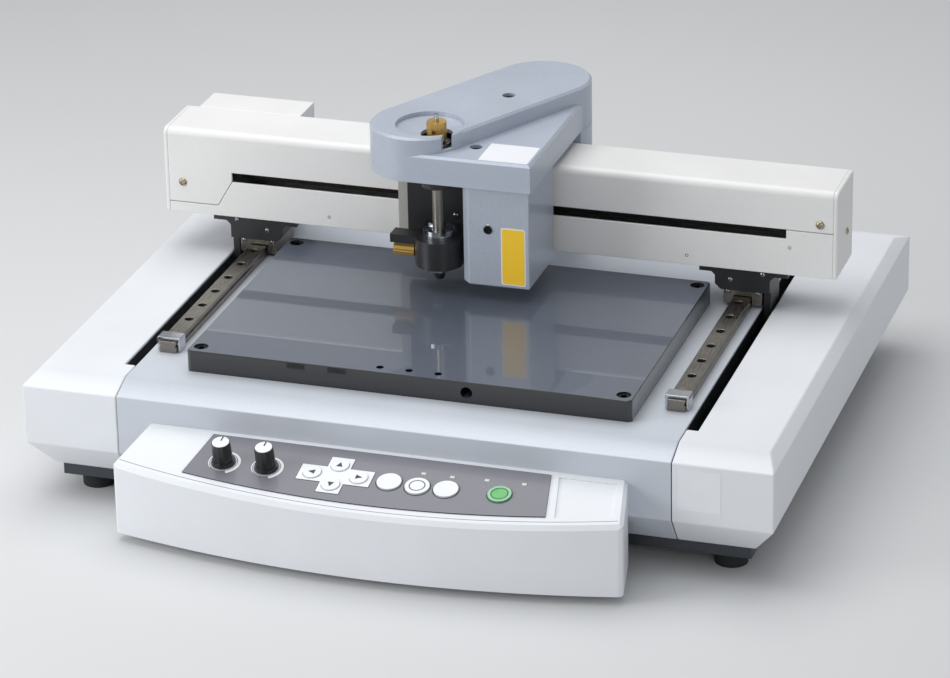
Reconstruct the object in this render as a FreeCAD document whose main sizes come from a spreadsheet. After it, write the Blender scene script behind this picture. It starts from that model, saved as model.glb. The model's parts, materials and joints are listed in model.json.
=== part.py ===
import FreeCAD, Part
import math
import operator
import os
import Sketcher

# Desktop flat bed engraver, in millimetres. X runs to the right, Y to the back and Z up.
# The floor is z = 0 and the origin is the middle of the whole machine's floor rectangle.
# The gantry, carriage and head stand where the photograph shows them.

os.makedirs("parts", exist_ok=True)
doc = FreeCAD.newDocument("engraver")
sheet = doc.addObject("Spreadsheet::Sheet", "sizes")
V = FreeCAD.Vector
nodes = {}


# Lengths that know both their number and the sheet formula that gives it

class Size:
    def __init__(self, text, number):
        self.text = text
        self.number = float(number)

    def mix(self, other, sign, work, swapped=False):
        first, second = (as_size(other), self) if swapped else (self, as_size(other))
        return Size(f"({first.text} {sign} {second.text})", work(first.number, second.number))

    def __add__(self, other):
        return self.mix(other, "+", operator.add)

    def __radd__(self, other):
        return self.mix(other, "+", operator.add, True)

    def __sub__(self, other):
        return self.mix(other, "-", operator.sub)

    def __rsub__(self, other):
        return self.mix(other, "-", operator.sub, True)

    def __mul__(self, other):
        return self.mix(other, "*", operator.mul)

    def __rmul__(self, other):
        return self.mix(other, "*", operator.mul, True)

    def __truediv__(self, other):
        return self.mix(other, "/", operator.truediv)

    def __neg__(self):
        return Size(f"(0 - {self.text})", -self.number)


def as_size(value):
    return value if isinstance(value, Size) else Size(f"({value:.6g})", value)


def root(value):
    return Size(f"sqrt({value.text})", math.sqrt(value.number))


def size(name, number):
    """Write a driving dimension into the next row of the sheet."""
    row = size.rows = getattr(size, "rows", 0) + 1
    sheet.set(f"A{row}", name.replace("_", " "))
    sheet.set(f"B{row}", str(number))
    sheet.setAlias(f"B{row}", name)
    return Size(f"sizes.{name}", number)


# Driving dimensions: work table
table_width = size("table_width", 305)
table_depth = size("table_depth", 203)
table_thick = size("table_thick", 15)
table_corner = size("table_corner", 3)
fixing_inset_side = size("fixing_inset_side", 7.5)
fixing_inset_end = size("fixing_inset_end", 8.5)
fixing_head_radius = size("fixing_head_radius", 4.8)
fixing_head_depth = size("fixing_head_depth", 6)
stop_hole_radius = size("stop_hole_radius", 2.5)
stop_hole_pitch = size("stop_hole_pitch", 20)
stop_hole_depth = size("stop_hole_depth", 8)
front_hole_radius = size("front_hole_radius", 4)
front_hole_across = size("front_hole_across", 41.5)
front_hole_depth = size("front_hole_depth", 20)
table_break = size("table_break", 0.6)
stop_hole_inset = size("stop_hole_inset", 8)
screw_head_height = size("screw_head_height", 5)
screw_key_radius = size("screw_key_radius", 2.3)
screw_key_depth = size("screw_key_depth", 3)
fixing_clearance = size("fixing_clearance", 0.2)
# Driving dimensions: base and its covers
deck_height = size("deck_height", 89)
deck_margin = size("deck_margin", 36)
front_margin = size("front_margin", 37)
base_depth = size("base_depth", 408)
cover_width = size("cover_width", 67)
cover_bottom = size("cover_bottom", 21)
cover_wall = size("cover_wall", 2.5)
deck_sheet = size("deck_sheet", 2)
bevel_drop = size("bevel_drop", 7)
front_bevel = size("front_bevel", 18.5)
rear_bevel = size("rear_bevel", 22)
side_bevel = size("side_bevel", 7)
tuck_run = size("tuck_run", 15)
tuck_rise = size("tuck_rise", 20)
seam_gap = size("seam_gap", 0.5)
foot_height = size("foot_height", 12)
foot_radius = size("foot_radius", 11)
pan_rim = size("pan_rim", 18)
side_slot_width = size("side_slot_width", 8)
slot_rear_margin = size("slot_rear_margin", 66.5)
cross_bar_height = size("cross_bar_height", 10)
pan_sheet = size("pan_sheet", 2)
foot_inset = size("foot_inset", 36)
inlet_width = size("inlet_width", 28)
inlet_height = size("inlet_height", 20)
data_width = size("data_width", 13)
data_height = size("data_height", 11)
socket_height = size("socket_height", 58)
# Driving dimensions: linear guides
rail_offset = size("rail_offset", 23)
rail_width = size("rail_width", 12)
rail_height = size("rail_height", 8)
rail_start = size("rail_start", 24)
rail_length = size("rail_length", 300)
rail_pitch = size("rail_pitch", 25)
rail_first_hole = size("rail_first_hole", 15)
rail_hole_radius = size("rail_hole_radius", 3)
rail_hole_depth = size("rail_hole_depth", 4.5)
block_width = size("block_width", 27)
block_length = size("block_length", 35)
block_stack = size("block_stack", 13)
guide_gap = size("guide_gap", 0.3)
support_width = size("support_width", 21)
support_wall = size("support_wall", 3)
support_front_gap = size("support_front_gap", 19.5)
support_rear_gap = size("support_rear_gap", 22)
rail_groove = size("rail_groove", 1)
stop_inset = size("stop_inset", 2.5)
stop_length = size("stop_length", 10)
stop_cheek = size("stop_cheek", 2)
# Driving dimensions: control panel
panel_reach = size("panel_reach", 65)
panel_end_reach = size("panel_end_reach", 44)
panel_rear_half = size("panel_rear_half", 163.5)
panel_front_half = size("panel_front_half", 172.5)
panel_back_height = size("panel_back_height", 66)
panel_drop = size("panel_drop", 15)
panel_bottom = size("panel_bottom", 6)
panel_wall = size("panel_wall", 2.5)
panel_shift = size("panel_shift", 3)
panel_corner = size("panel_corner", 4)
panel_bevel = size("panel_bevel", 2.5)
recess_depth = size("recess_depth", 1)
overlay_margin = size("overlay_margin", 4)
overlay_end = size("overlay_end", 44.7)
overlay_border = size("overlay_border", 10)
overlay_rear_left = size("overlay_rear_left", 116)
overlay_rear_right = size("overlay_rear_right", 114)
overlay_front_left = size("overlay_front_left", 123)
overlay_front_right = size("overlay_front_right", 122)
overlay_thick = size("overlay_thick", 0.8)
key_radius = size("key_radius", 8.1)
key_proud = size("key_proud", 1.2)
key_travel = size("key_travel", 0.8)
arrow_radius = size("arrow_radius", 6)
key_gap = size("key_gap", 0.3)
lug_reach = size("lug_reach", 1.2)
lug_thick = size("lug_thick", 1.2)
lug_half = size("lug_half", 2.5)
stem_half = size("stem_half", 1.5)
switch_half = size("switch_half", 3)
knob_radius = size("knob_radius", 6.6)
knob_height = size("knob_height", 16)
knob_taper = size("knob_taper", 0.4)
knob_flute = size("knob_flute", 0.3)
knob_crown = size("knob_crown", 4)
skirt_radius = size("skirt_radius", 7.8)
skirt_height = size("skirt_height", 2)
dial_body_half = size("dial_body_half", 8)
dial_shaft_radius = size("dial_shaft_radius", 3)
board_thick = size("board_thick", 1.6)
board_drop = size("board_drop", 12)
switch_rise = size("switch_rise", 4.3)
green_radius = size("green_radius", 7.8)
lamp_half_width = size("lamp_half_width", 1.5)
lamp_half_depth = size("lamp_half_depth", 1.1)
lamp_length = size("lamp_length", 5.5)
lead_half = size("lead_half", 0.8)
lamp_gap = size("lamp_gap", 0.1)
# Driving dimensions: gantry
gantry_rest = size("gantry_rest", 148)
spindle_reach = size("spindle_reach", 46.2)
beam_clearance = size("beam_clearance", 14.5)
beam_height = size("beam_height", 62.5)
beam_depth = size("beam_depth", 46)
beam_overhang = size("beam_overhang", 89.5)
beam_sheet = size("beam_sheet", 2)
beam_bend = size("beam_bend", 5)
cap_thick = size("cap_thick", 3.2)
cap_edge = size("cap_edge", 1)
beam_slot_rise = size("beam_slot_rise", 29.6)
beam_slot_height = size("beam_slot_height", 6.8)
beam_slot_left = size("beam_slot_left", 191.5)
beam_slot_right = size("beam_slot_right", 206.4)
frame_wall = size("frame_wall", 3)
flange_thick = size("flange_thick", 4)
arm_thick = size("arm_thick", 5)
arm_length = size("arm_length", 24)
bracket_inset = size("bracket_inset", 2.5)
bracket_depth = size("bracket_depth", 40)
flange_inner = size("flange_inner", 7)
flange_outer = size("flange_outer", 55)
seam_fall = size("seam_fall", 18.8)
seam_run = size("seam_run", 11.2)
frame_back = size("frame_back", 24.3)
frame_end_gap = size("frame_end_gap", 0.3)
cap_tab = size("cap_tab", 8)
x_rail_half = size("x_rail_half", 190)
# Driving dimensions: belts and motors
pulley_radius = size("pulley_radius", 9.5)
belt_width = size("belt_width", 6)
belt_thick = size("belt_thick", 1.4)
belt_gap = size("belt_gap", 0.1)
drive_height = size("drive_height", 56)
shaft_radius = size("shaft_radius", 4)
running_gap = size("running_gap", 0.05)
motor_side = size("motor_side", 42)
motor_length = size("motor_length", 34)
motor_box_width = size("motor_box_width", 76)
motor_box_depth = size("motor_box_depth", 29)
motor_box_left = size("motor_box_left", 10)
pulley_lip = size("pulley_lip", 1.6)
pulley_cheek = size("pulley_cheek", 1)
pulley_room = size("pulley_room", 0.6)
idler_margin = size("idler_margin", 28.5)
shaft_margin = size("shaft_margin", 36.5)
x_axle_radius = size("x_axle_radius", 2.5)
x_drive_margin = size("x_drive_margin", 34)
x_idler_margin = size("x_idler_margin", 20)
x_belt_back = size("x_belt_back", 7.4)
motor_bore_depth = size("motor_bore_depth", 12)
motor_register_radius = size("motor_register_radius", 11)
z_motor_side = size("z_motor_side", 28)
z_motor_length = size("z_motor_length", 26)
# Driving dimensions: carriage and head
carriage_rest = size("carriage_rest", 24.2)
tongue_left = size("tongue_left", 38.5)
tongue_right = size("tongue_right", 53.9)
tongue_thick = size("tongue_thick", 5)
plate_thick = size("plate_thick", 3)
plate_gap = size("plate_gap", 1.5)
plate_left = size("plate_left", 42.8)
plate_right = size("plate_right", 66.2)
carriage_low_gap = size("carriage_low_gap", 0.5)
carriage_rise = size("carriage_rise", 3)
z_rail_width = size("z_rail_width", 9)
z_rail_height = size("z_rail_height", 6.5)
z_rail_offset = size("z_rail_offset", 5.8)
slide_length = size("slide_length", 28)
slide_low = size("slide_low", 122)
screw_radius = size("screw_radius", 3)
screw_length = size("screw_length", 42)
screw_across = size("screw_across", 48.2)
screw_back = size("screw_back", 8.5)
nut_low = size("nut_low", 150)
nut_height = size("nut_height", 8)
cover_top = size("cover_top", 218)
cover_skirt = size("cover_skirt", 190.4)
shelf_height = size("shelf_height", 206.5)
cover_radius = size("cover_radius", 34.5)
cover_front_x = size("cover_front_x", 15.7)
cover_front_y = size("cover_front_y", 13)
cover_rear_x = size("cover_rear_x", 39.3)
cover_rear_y = size("cover_rear_y", 115.7)
shelf_right = size("shelf_right", 71.7)
shell_wall = size("shell_wall", 2.5)
dish_radius = size("dish_radius", 23.4)
dish_depth = size("dish_depth", 3)
dish_hole = size("dish_hole", 11)
box_front = size("box_front", 17)
box_left = size("box_left", 21.3)
box_right = size("box_right", 69.2)
box_bottom = size("box_bottom", 114.8)
box_chamfer = size("box_chamfer", 5)
box_wall = size("box_wall", 2)
cutter_radius = size("cutter_radius", 1.5875)
cutter_top = size("cutter_top", 229)
cutter_tip = size("cutter_tip", 109)
cutter_taper = size("cutter_taper", 5)
cutter_point = size("cutter_point", 0.1)
holder_radius = size("holder_radius", 6.8)
holder_bottom = size("holder_bottom", 211.5)
holder_top = size("holder_top", 224)
holder_flute = size("holder_flute", 0.35)
holder_cross_radius = size("holder_cross_radius", 1.6)
spindle_pulley_radius = size("spindle_pulley_radius", 9.5)
motor_pulley_radius = size("motor_pulley_radius", 7)
drive_belt_low = size("drive_belt_low", 202)
drive_belt_width = size("drive_belt_width", 6)
spindle_motor_radius = size("spindle_motor_radius", 18)
spindle_motor_length = size("spindle_motor_length", 52)
motor_x = size("motor_x", 42.7)
motor_y = size("motor_y", 125)
sleeve_radius = size("sleeve_radius", 4)
block_low = size("block_low", 121)
block_high = size("block_high", 141)
thumb_radius = size("thumb_radius", 4.8)
thumb_length = size("thumb_length", 15)
thumb_flute = size("thumb_flute", 0.4)
thumb_shank_radius = size("thumb_shank_radius", 2)
thumb_screw_in = size("thumb_screw_in", 10)
thumb_height = size("thumb_height", 129)
cover_edge = size("cover_edge", 1.6)
shelf_front = size("shelf_front", 21.5)
shelf_rear = size("shelf_rear", 5)
dish_offset_x = size("dish_offset_x", 7.9)
dish_offset_y = size("dish_offset_y", 9.2)
head_plate_thick = size("head_plate_thick", 3.8)
shroud_bottom = size("shroud_bottom", 125)
shroud_front = size("shroud_front", 102)
casting_back = size("casting_back", 32.5)
casting_thick = size("casting_thick", 8)
casting_left = size("casting_left", 30.3)
casting_low = size("casting_low", 116)
lower_radius = size("lower_radius", 16.5)
upper_radius = size("upper_radius", 11)
upper_low = size("upper_low", 178)
boss_left = size("boss_left", 33.3)
motor_shaft_radius = size("motor_shaft_radius", 2)
ring_radius = size("ring_radius", 10.8)
ring_height = size("ring_height", 6)
ring_notch = size("ring_notch", 5)
nut_radius = size("nut_radius", 7)
nose_nut_height = size("nose_nut_height", 5.5)
nose_tip = size("nose_tip", 110)
nose_tip_radius = size("nose_tip_radius", 3)
nose_radius = size("nose_radius", 4.6)
nose_gap = size("nose_gap", 0.6)

# Places that follow from the driving dimensions
table_half = table_width / 2
table_top = deck_height + table_thick
base_front = panel_reach - (base_depth + panel_reach) / 2
base_rear = base_front + base_depth
table_front = base_front + front_margin
table_rear = table_front + table_depth
deck_half = table_half + deck_margin
base_half = deck_half + cover_width
rail_x = table_half + rail_offset
rail_front = table_front + rail_start
rail_top = deck_height + rail_height
support_inner = rail_x - support_width / 2
support_outer = rail_x + support_width / 2
slot_rear = base_rear - slot_rear_margin
support_front = base_front + support_front_gap
support_rear = base_rear - support_rear_gap
inlet_x = (-150, inlet_width - 150)
inlet_z = (socket_height - inlet_height / 2, socket_height + inlet_height / 2)
data_x = (-100, data_width - 100)
data_z = (socket_height - data_height / 2, socket_height + data_height / 2)
axis_x = -carriage_rest
axis_y = table_front + gantry_rest
beam_front = axis_y + spindle_reach
beam_rear = beam_front + beam_depth
beam_middle = beam_front + beam_depth / 2
beam_bottom = table_top + beam_clearance
beam_top = beam_bottom + beam_height
beam_half = table_half + beam_overhang
slot_middle = beam_bottom + beam_slot_rise
slot_low = slot_middle - beam_slot_height / 2
slot_high = slot_middle + beam_slot_height / 2
block_top = deck_height + block_stack
arm_x = deck_half + side_slot_width / 2
plate_front = beam_front - plate_gap - plate_thick
belt_x = arm_x
idler_y = base_front + idler_margin
shaft_y = base_rear - shaft_margin
pulley_half = belt_width / 2 + pulley_room + pulley_cheek
belt_top = drive_height + pulley_radius + belt_gap + belt_thick
bracket_front = beam_front + bracket_inset
flange_left = table_half - flange_inner
flange_right = table_half + flange_outer
frame_front = beam_front + frame_back
x_drive_x = x_drive_margin - beam_half
x_idler_x = beam_half - x_idler_margin
x_belt_y = beam_front + x_belt_back
tongue_middle = (tongue_right - tongue_left) / 2
carriage_low = beam_bottom - carriage_low_gap
carriage_high = beam_top + carriage_rise
z_rail_x = axis_x - z_rail_offset
head_plate_low = cover_skirt - head_plate_thick
screw_x = axis_x + screw_across
screw_y = axis_y + screw_back

# Counts of what repeats
RAIL_HOLES = 12
RAIL_HOLE_SIDES = 12
KNOB_FLUTES = 12
SKIRT_SIDES = 12
HOLDER_FLUTES = 14
THUMB_FLUTES = 14
RING_SLOTS = 5
NOSE_SIDES = 16

# Control panel: slope, and the places of its keys and dials as (across, forward, radius), lamps without radius
panel_middle = -panel_shift
slope_length = root(panel_drop * panel_drop + panel_reach * panel_reach)
slope_sine = panel_drop / slope_length
slope_cosine = panel_reach / slope_length
switch_top = switch_rise - board_drop
KEYS = {
    "arrow_key_left": (-38.6, 30.3, arrow_radius),
    "arrow_key_right": (-7.0, 30.3, arrow_radius),
    "arrow_key_back": (-22.8, 20.6, arrow_radius),
    "arrow_key_front": (-22.8, 40.0, arrow_radius),
    "round_key_left": (13.7, 30.5, key_radius),
    "round_key_middle": (32.9, 31.5, key_radius),
    "round_key_right": (52.0, 31.0, key_radius),
    "green_key": (87.2, 29.5, green_radius),
}
DIALS = {
    "rpm_knob": (-99.3, 30.5, dial_shaft_radius),
    "speed_knob": (-69.8, 30.5, dial_shaft_radius),
}
LAMPS = {
    "lamp_middle": (32.9, 18.0),
    "lamp_right": (52.1, 18.0),
    "lamp_link": (75.0, 17.0),
    "lamp_power": (99.7, 16.5),
}


# Modelling helpers: each returns a document object whose sizes are bound to the sheet

def bind(item, name, value):
    value = as_size(value)
    if "sizes." in value.text:
        item.setExpression(name, value.text)
    else:
        owner, _, last = name.rpartition(".")
        target = item
        for step in owner.split(".") if owner else []:
            target = getattr(target, step)
        if not owner:
            setattr(item, last, value.number)


def locate(item, x=0, y=0, z=0, turn=None):
    place = [as_size(value) for value in (x, y, z)]
    item.Placement = FreeCAD.Placement(V(*[value.number for value in place]), turn or FreeCAD.Rotation())
    for letter, value in zip("xyz", place):
        if "sizes." in value.text:
            item.setExpression(f"Placement.Base.{letter}", value.text)
    return item


def named(kind, name):
    item = doc.addObject(kind, name)
    item.Label = name
    return item


def block(name, x, y, z):
    """A box between two values along each axis."""
    item = named("Part::Box", name)
    for side, (low, high) in zip(("Length", "Width", "Height"), (x, y, z)):
        bind(item, side, as_size(high) - low)
    return locate(item, x[0], y[0], z[0])


def post(name, x, y, z, radius):
    """An upright cylinder from z[0] to z[1]."""
    item = named("Part::Cylinder", name)
    bind(item, "Radius", radius)
    bind(item, "Height", as_size(z[1]) - z[0])
    return locate(item, x, y, z[0])


def bar(name, axis, span, other, z, radius):
    """A level cylinder along x or y; other is its place on the remaining level axis."""
    item = named("Part::Cylinder", name)
    bind(item, "Radius", radius)
    bind(item, "Height", as_size(span[1]) - span[0])
    if axis == "x":
        return locate(item, span[0], other, z, FreeCAD.Rotation(V(0, 1, 0), 90))
    return locate(item, other, span[0], z, FreeCAD.Rotation(V(1, 0, 0), -90))


def combine(kind, name, items):
    item = named(kind, name)
    if kind == "Part::Compound":
        item.Links = items
    else:
        item.Shapes = items
    return item


def join(name, *items):
    return combine("Part::MultiFuse", name, list(items))


def group(name, items):
    return combine("Part::Compound", name, list(items))


def cut(name, base, *tools):
    item = named("Part::Cut", name)
    item.Base = base
    item.Tool = tools[0] if len(tools) == 1 else join(name + "_tools", *tools)
    return item


def overlap(name, first, second):
    return combine("Part::MultiCommon", name, [first, second])


def new_body(name):
    return named("PartDesign::Body", name)


def sketch(body, name, plane, level=0):
    """A sketch on one of the body's origin planes, moved to a level along that plane's axis."""
    item = body.newObject("Sketcher::SketchObject", name)
    plane_object = [part for part in body.Origin.OriginFeatures if part.Role == plane][0]
    item.AttachmentSupport = (plane_object, [""])
    item.MapMode = "FlatFace"
    level = -as_size(level) if plane == "XZ_Plane" else as_size(level)
    item.AttachmentOffset = FreeCAD.Placement(V(0, 0, level.number), FreeCAD.Rotation())
    if "sizes." in level.text:
        item.setExpression("AttachmentOffset.Base.z", level.text)
    return item


def fix_point(item, edge, end, across, up):
    """Tie one end of an edge to its place across and up from the sketch's origin."""
    for kind, value in (("DistanceX", as_size(across)), ("DistanceY", as_size(up))):
        index = item.addConstraint(Sketcher.Constraint(kind, -1, 1, edge, end, value.number))
        if "sizes." in value.text:
            item.setExpression(f"Constraints[{index}]", value.text)


def outline(item, points):
    """A closed outline. A point is (across, up), or (across, up, bulge point) after an arc."""
    spots = [V(as_size(point[0]).number, as_size(point[1]).number, 0) for point in points]
    first = item.GeometryCount
    for i, point in enumerate(points):
        start, end = spots[i - 1], spots[i]
        if len(point) == 3:
            middle = V(as_size(point[2][0]).number, as_size(point[2][1]).number, 0)
            item.addGeometry(Part.Arc(start, middle, end), False)
        else:
            item.addGeometry(Part.LineSegment(start, end), False)
    for i, point in enumerate(points):
        following = (i + 1) % len(points)
        leaving = item.Geometry[first + i]
        arriving = item.Geometry[first + following]
        end = 2 if leaving.EndPoint.distanceToPoint(spots[i]) < 1e-6 else 1
        start = 1 if arriving.StartPoint.distanceToPoint(spots[i]) < 1e-6 else 2
        item.addConstraint(Sketcher.Constraint("Coincident", first + i, end, first + following, start))
        fix_point(item, first + i, end, point[0], point[1])
        if len(point) == 3:
            tie_arc(item, first + i, point[2])
    return item


def tie_arc(item, edge, bulge):
    """Make an arc pass through its bulge point, held by a construction point on the arc."""
    spot = V(as_size(bulge[0]).number, as_size(bulge[1]).number, 0)
    dot = item.addGeometry(Part.Point(spot), True)
    fix_point(item, dot, 1, *bulge)
    item.addConstraint(Sketcher.Constraint("PointOnObject", dot, 1, edge))


def circle(item, across, up, radius):
    radius = as_size(radius)
    spot = V(as_size(across).number, as_size(up).number, 0)
    edge = item.addGeometry(Part.Circle(spot, V(0, 0, 1), radius.number), False)
    index = item.addConstraint(Sketcher.Constraint("Radius", edge, radius.number))
    if "sizes." in radius.text:
        item.setExpression(f"Constraints[{index}]", radius.text)
    fix_point(item, edge, 3, across, up)
    return item


def feature(body, kind, profile, length=None, reverse=False, through=False):
    item = body.newObject("PartDesign::" + kind, profile.Name + "_" + kind.lower())
    item.Profile = profile
    if through:
        item.Type = "ThroughAll"
        item.Midplane = True
    elif length is not None:
        bind(item, "Length", length)
        item.Reversed = reverse
    profile.Visibility = False
    return item


def prism(name, plane, points, span, body=None):
    """A body padded from an outline on a plane, between two levels along that plane's axis."""
    body = body or new_body(name)
    low, high = span
    level = high if plane == "XZ_Plane" else low
    face = outline(sketch(body, name + "_outline", plane, level), points)
    feature(body, "Pad", face, as_size(high) - low)
    return body


def turned(name, points, x=0, y=0, z=0, turn=None):
    """A body of revolution: points are (radius, height) about its own upright axis."""
    body = new_body(name)
    face = outline(sketch(body, name + "_outline", "XZ_Plane"), points)
    item = body.newObject("PartDesign::Revolution", name + "_turned")
    item.Profile = face
    item.ReferenceAxis = (face, ["V_Axis"])
    item.Angle = 360
    face.Visibility = False
    return locate(body, x, y, z, turn)


def edges_where(item, test):
    return [f"Edge{i + 1}" for i, edge in enumerate(item.Shape.Edges) if test(edge)]


def dress(body, kind, names, value):
    """A fillet or chamfer on the body's last feature, on the named edges."""
    base = body.Tip
    item = body.newObject("PartDesign::" + kind, body.Name + "_" + kind.lower())
    item.Base = (base, names)
    bind(item, "Radius" if kind == "Fillet" else "Size", value)
    doc.recompute()
    return item


def keep(name, item):
    """Hand an object in as a node under its own name."""
    item.Label = name
    nodes[name] = item
    return item


def pair(name, right):
    """The piece made for the right side and its mirror image on the left, as one node."""
    return keep(name, group(name, [right, reflect(name + "_left", right)]))


def reflect(name, source):
    item = named("Part::Mirroring", name)
    item.Source = source
    item.Normal = V(1, 0, 0)
    return item


def rectangle(x, y):
    return [(x[0], y[0]), (x[1], y[0]), (x[1], y[1]), (x[0], y[1])]


def polygon(radius, count, across=0, up=0):
    """The corners of a regular outline about a middle."""
    turns = [math.tau * i / count for i in range(count)]
    return [(across + radius * round(math.cos(turn), 6), up + radius * round(math.sin(turn), 6)) for turn in turns]


def fluted(radius, depth, count):
    """A round outline whose corners step in and out by the depth, as shallow flutes do."""
    outer, inner = polygon(radius, 2 * count), polygon(radius - depth, 2 * count)
    return [(outer, inner)[i % 2][i] for i in range(2 * count)]


def tapered(name, lower, upper, span):
    """A body that runs straight from one outline to another above it."""
    body = new_body(name)
    first = outline(sketch(body, name + "_lower", "XY_Plane", span[0]), lower)
    second = outline(sketch(body, name + "_upper", "XY_Plane", span[1]), upper)
    item = body.newObject("PartDesign::AdditiveLoft", name + "_loft")
    item.Profile = first
    item.Sections = [second]
    item.Ruled = True
    first.Visibility = second.Visibility = False
    return body


def pocket(body, name, plane, level, draw, length, reverse=False):
    """Cut whatever draw puts in a sketch on the plane, into the body from that level."""
    face = sketch(body, name, plane, level)
    draw(face)
    return feature(body, "Pocket", face, length, reverse)


def loop_belt(name, plane, first, second, middle, radius, span):
    """A flat belt round two equal pulleys whose axes lie across the plane."""
    def ring(label, size_out):
        low, high = middle - size_out, middle + size_out
        points = [(second, low), (second, high, (second + size_out, middle)),
                  (first, high), (first, low, (first - size_out, middle))]
        return prism(label, plane, points, span)
    inner = ring(name + "_inside", radius + belt_gap)
    outer = ring(name + "_outside", radius + belt_gap + belt_thick)
    return cut(name, outer, inner)


def pulley(name, radius, width, bore=0, flanged=True):
    """A flat faced belt pulley about its own upright axis, with a flange at its low end."""
    half = width / 2 + pulley_room
    end = half + pulley_cheek
    lip = radius + pulley_lip
    flange = [(lip, -end), (lip, -half), (radius, -half)] if flanged else [(radius, -end)]
    return turned(name, [(bore, -end), *flange, (radius, end), (bore, end)])


def driven(name, wheel, span, radius):
    """A pulley made solid with the axle that turns it, which spans two heights of its own."""
    return join(name, wheel, post(name + "_axle", 0, 0, span, radius))


# Work table

def make_work_table():
    body = prism("work_table", "XY_Plane", rectangle((-table_half, table_half), (table_front, table_rear)),
                 (deck_height, table_top))
    doc.recompute()
    dress(body, "Fillet", edges_where(body, upright_edge), table_corner)
    dress(body, "Chamfer", edges_where(body, lambda edge: at_height(edge, table_top)), table_break)
    pocket(body, "fixing_heads", "XY_Plane", table_top, draw_fixings, fixing_head_depth)
    pocket(body, "stop_holes", "XY_Plane", table_top, draw_stop_holes, stop_hole_depth)
    pocket(body, "front_hole", "XZ_Plane", table_front,
           lambda face: circle(face, front_hole_across, deck_height + table_thick / 2, front_hole_radius),
           front_hole_depth)
    keep("work_table", body)


def upright_edge(edge):
    return abs(edge.BoundBox.ZLength) > 1 and edge.BoundBox.XLength < 1e-6 and edge.BoundBox.YLength < 1e-6


def at_height(edge, height):
    box = edge.BoundBox
    return box.ZLength < 1e-6 and abs(box.ZMin - as_size(height).number) < 1e-4


def fixing_spots():
    across = table_half - fixing_inset_side
    return [(x, y) for x in (-across, across)
            for y in (table_front + fixing_inset_end, table_rear - fixing_inset_end)]


def draw_fixings(face):
    for x, y in fixing_spots():
        circle(face, x, y, fixing_head_radius)


def draw_stop_holes(face):
    for step in (-1, 0, 1):
        circle(face, stop_hole_pitch * step, table_front + stop_hole_inset, stop_hole_radius)


def make_table_screws():
    """The heads of the table's four socket screws, each seated in its counterbore."""
    screws = []
    for i, (x, y) in enumerate(fixing_spots()):
        seat = table_top - fixing_head_depth
        top = seat + screw_head_height
        head = post(f"screw_head_{i}", x, y, (seat, top), fixing_head_radius - fixing_clearance)
        key = prism(f"screw_key_{i}", "XY_Plane", polygon(screw_key_radius, 6, x, y), (top - screw_key_depth, top + 1))
        screws.append(cut(f"table_screw_{i}", head, key))
    keep("table_screws", group("table_screws", screws))


# Base: chassis, deck and covers

def side_outline(x_low, shrink=0, open_bottom=0):
    """The base seen from the side, as a prism from x_low out to the covers' outer face."""
    top, bottom = deck_height - shrink, cover_bottom - open_bottom
    front, rear = base_front + shrink, base_rear - shrink
    points = [(front + front_bevel, top), (front, top - bevel_drop), (front, cover_bottom + tuck_rise),
              (front + tuck_run, cover_bottom), (front + tuck_run, bottom), (rear - tuck_run, bottom),
              (rear - tuck_run, cover_bottom), (rear, cover_bottom + tuck_rise), (rear, top - bevel_drop),
              (rear - rear_bevel, top)]
    if not open_bottom:
        points = points[:4] + points[6:]
    return points, (x_low, base_half)


def front_outline(x_low, shrink=0, open_bottom=0):
    """One side cover seen from the front."""
    top, bottom = deck_height - shrink, cover_bottom - open_bottom
    side = base_half - shrink
    points = [(x_low, bottom), (x_low, top), (side - side_bevel, top), (side, top - bevel_drop),
              (side, cover_bottom + tuck_rise), (side - tuck_run, cover_bottom), (side - tuck_run, bottom)]
    return points[:-1] if not open_bottom else points


def cover_solid(name, x_low, shrink=0, open_bottom=0):
    points, span = side_outline(x_low, shrink, open_bottom)
    long_way = prism(name + "_long", "YZ_Plane", points, span)
    across = prism(name + "_across", "XZ_Plane", front_outline(x_low, shrink, open_bottom),
                   (base_front, base_rear))
    return overlap(name, long_way, across)


def make_side_covers():
    inner_x = deck_half + seam_gap
    outside = cover_solid("cover_outside", inner_x)
    inside = cover_solid("cover_inside", inner_x - 1, cover_wall, 1)
    shell_body = cut("cover_shell", outside, inside)
    slot = block("cover_slot", (deck_half, deck_half + side_slot_width), (table_front, slot_rear),
                 (deck_height - cover_wall - 1, deck_height + 1))
    right = keep("side_cover_right", cut("side_cover_right", shell_body, slot))
    keep("side_cover_left", reflect("side_cover_left", right))


def make_deck_panel():
    """One folded sheet: deck, sloping front edge, front wall and its tuck under."""
    sheet_in = deck_sheet
    top, front = deck_height, base_front
    points = [(base_rear - rear_bevel, top), (front + front_bevel, top), (front, top - bevel_drop),
              (front, cover_bottom + tuck_rise), (front + tuck_run, cover_bottom),
              (front + tuck_run + sheet_in, cover_bottom), (front + sheet_in, cover_bottom + tuck_rise),
              (front + sheet_in, top - bevel_drop - sheet_in / 2),
              (front + front_bevel + sheet_in / 2, top - sheet_in), (base_rear - rear_bevel, top - sheet_in)]
    keep("deck_panel", prism("deck_panel", "YZ_Plane", points, (-deck_half, deck_half)))


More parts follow.
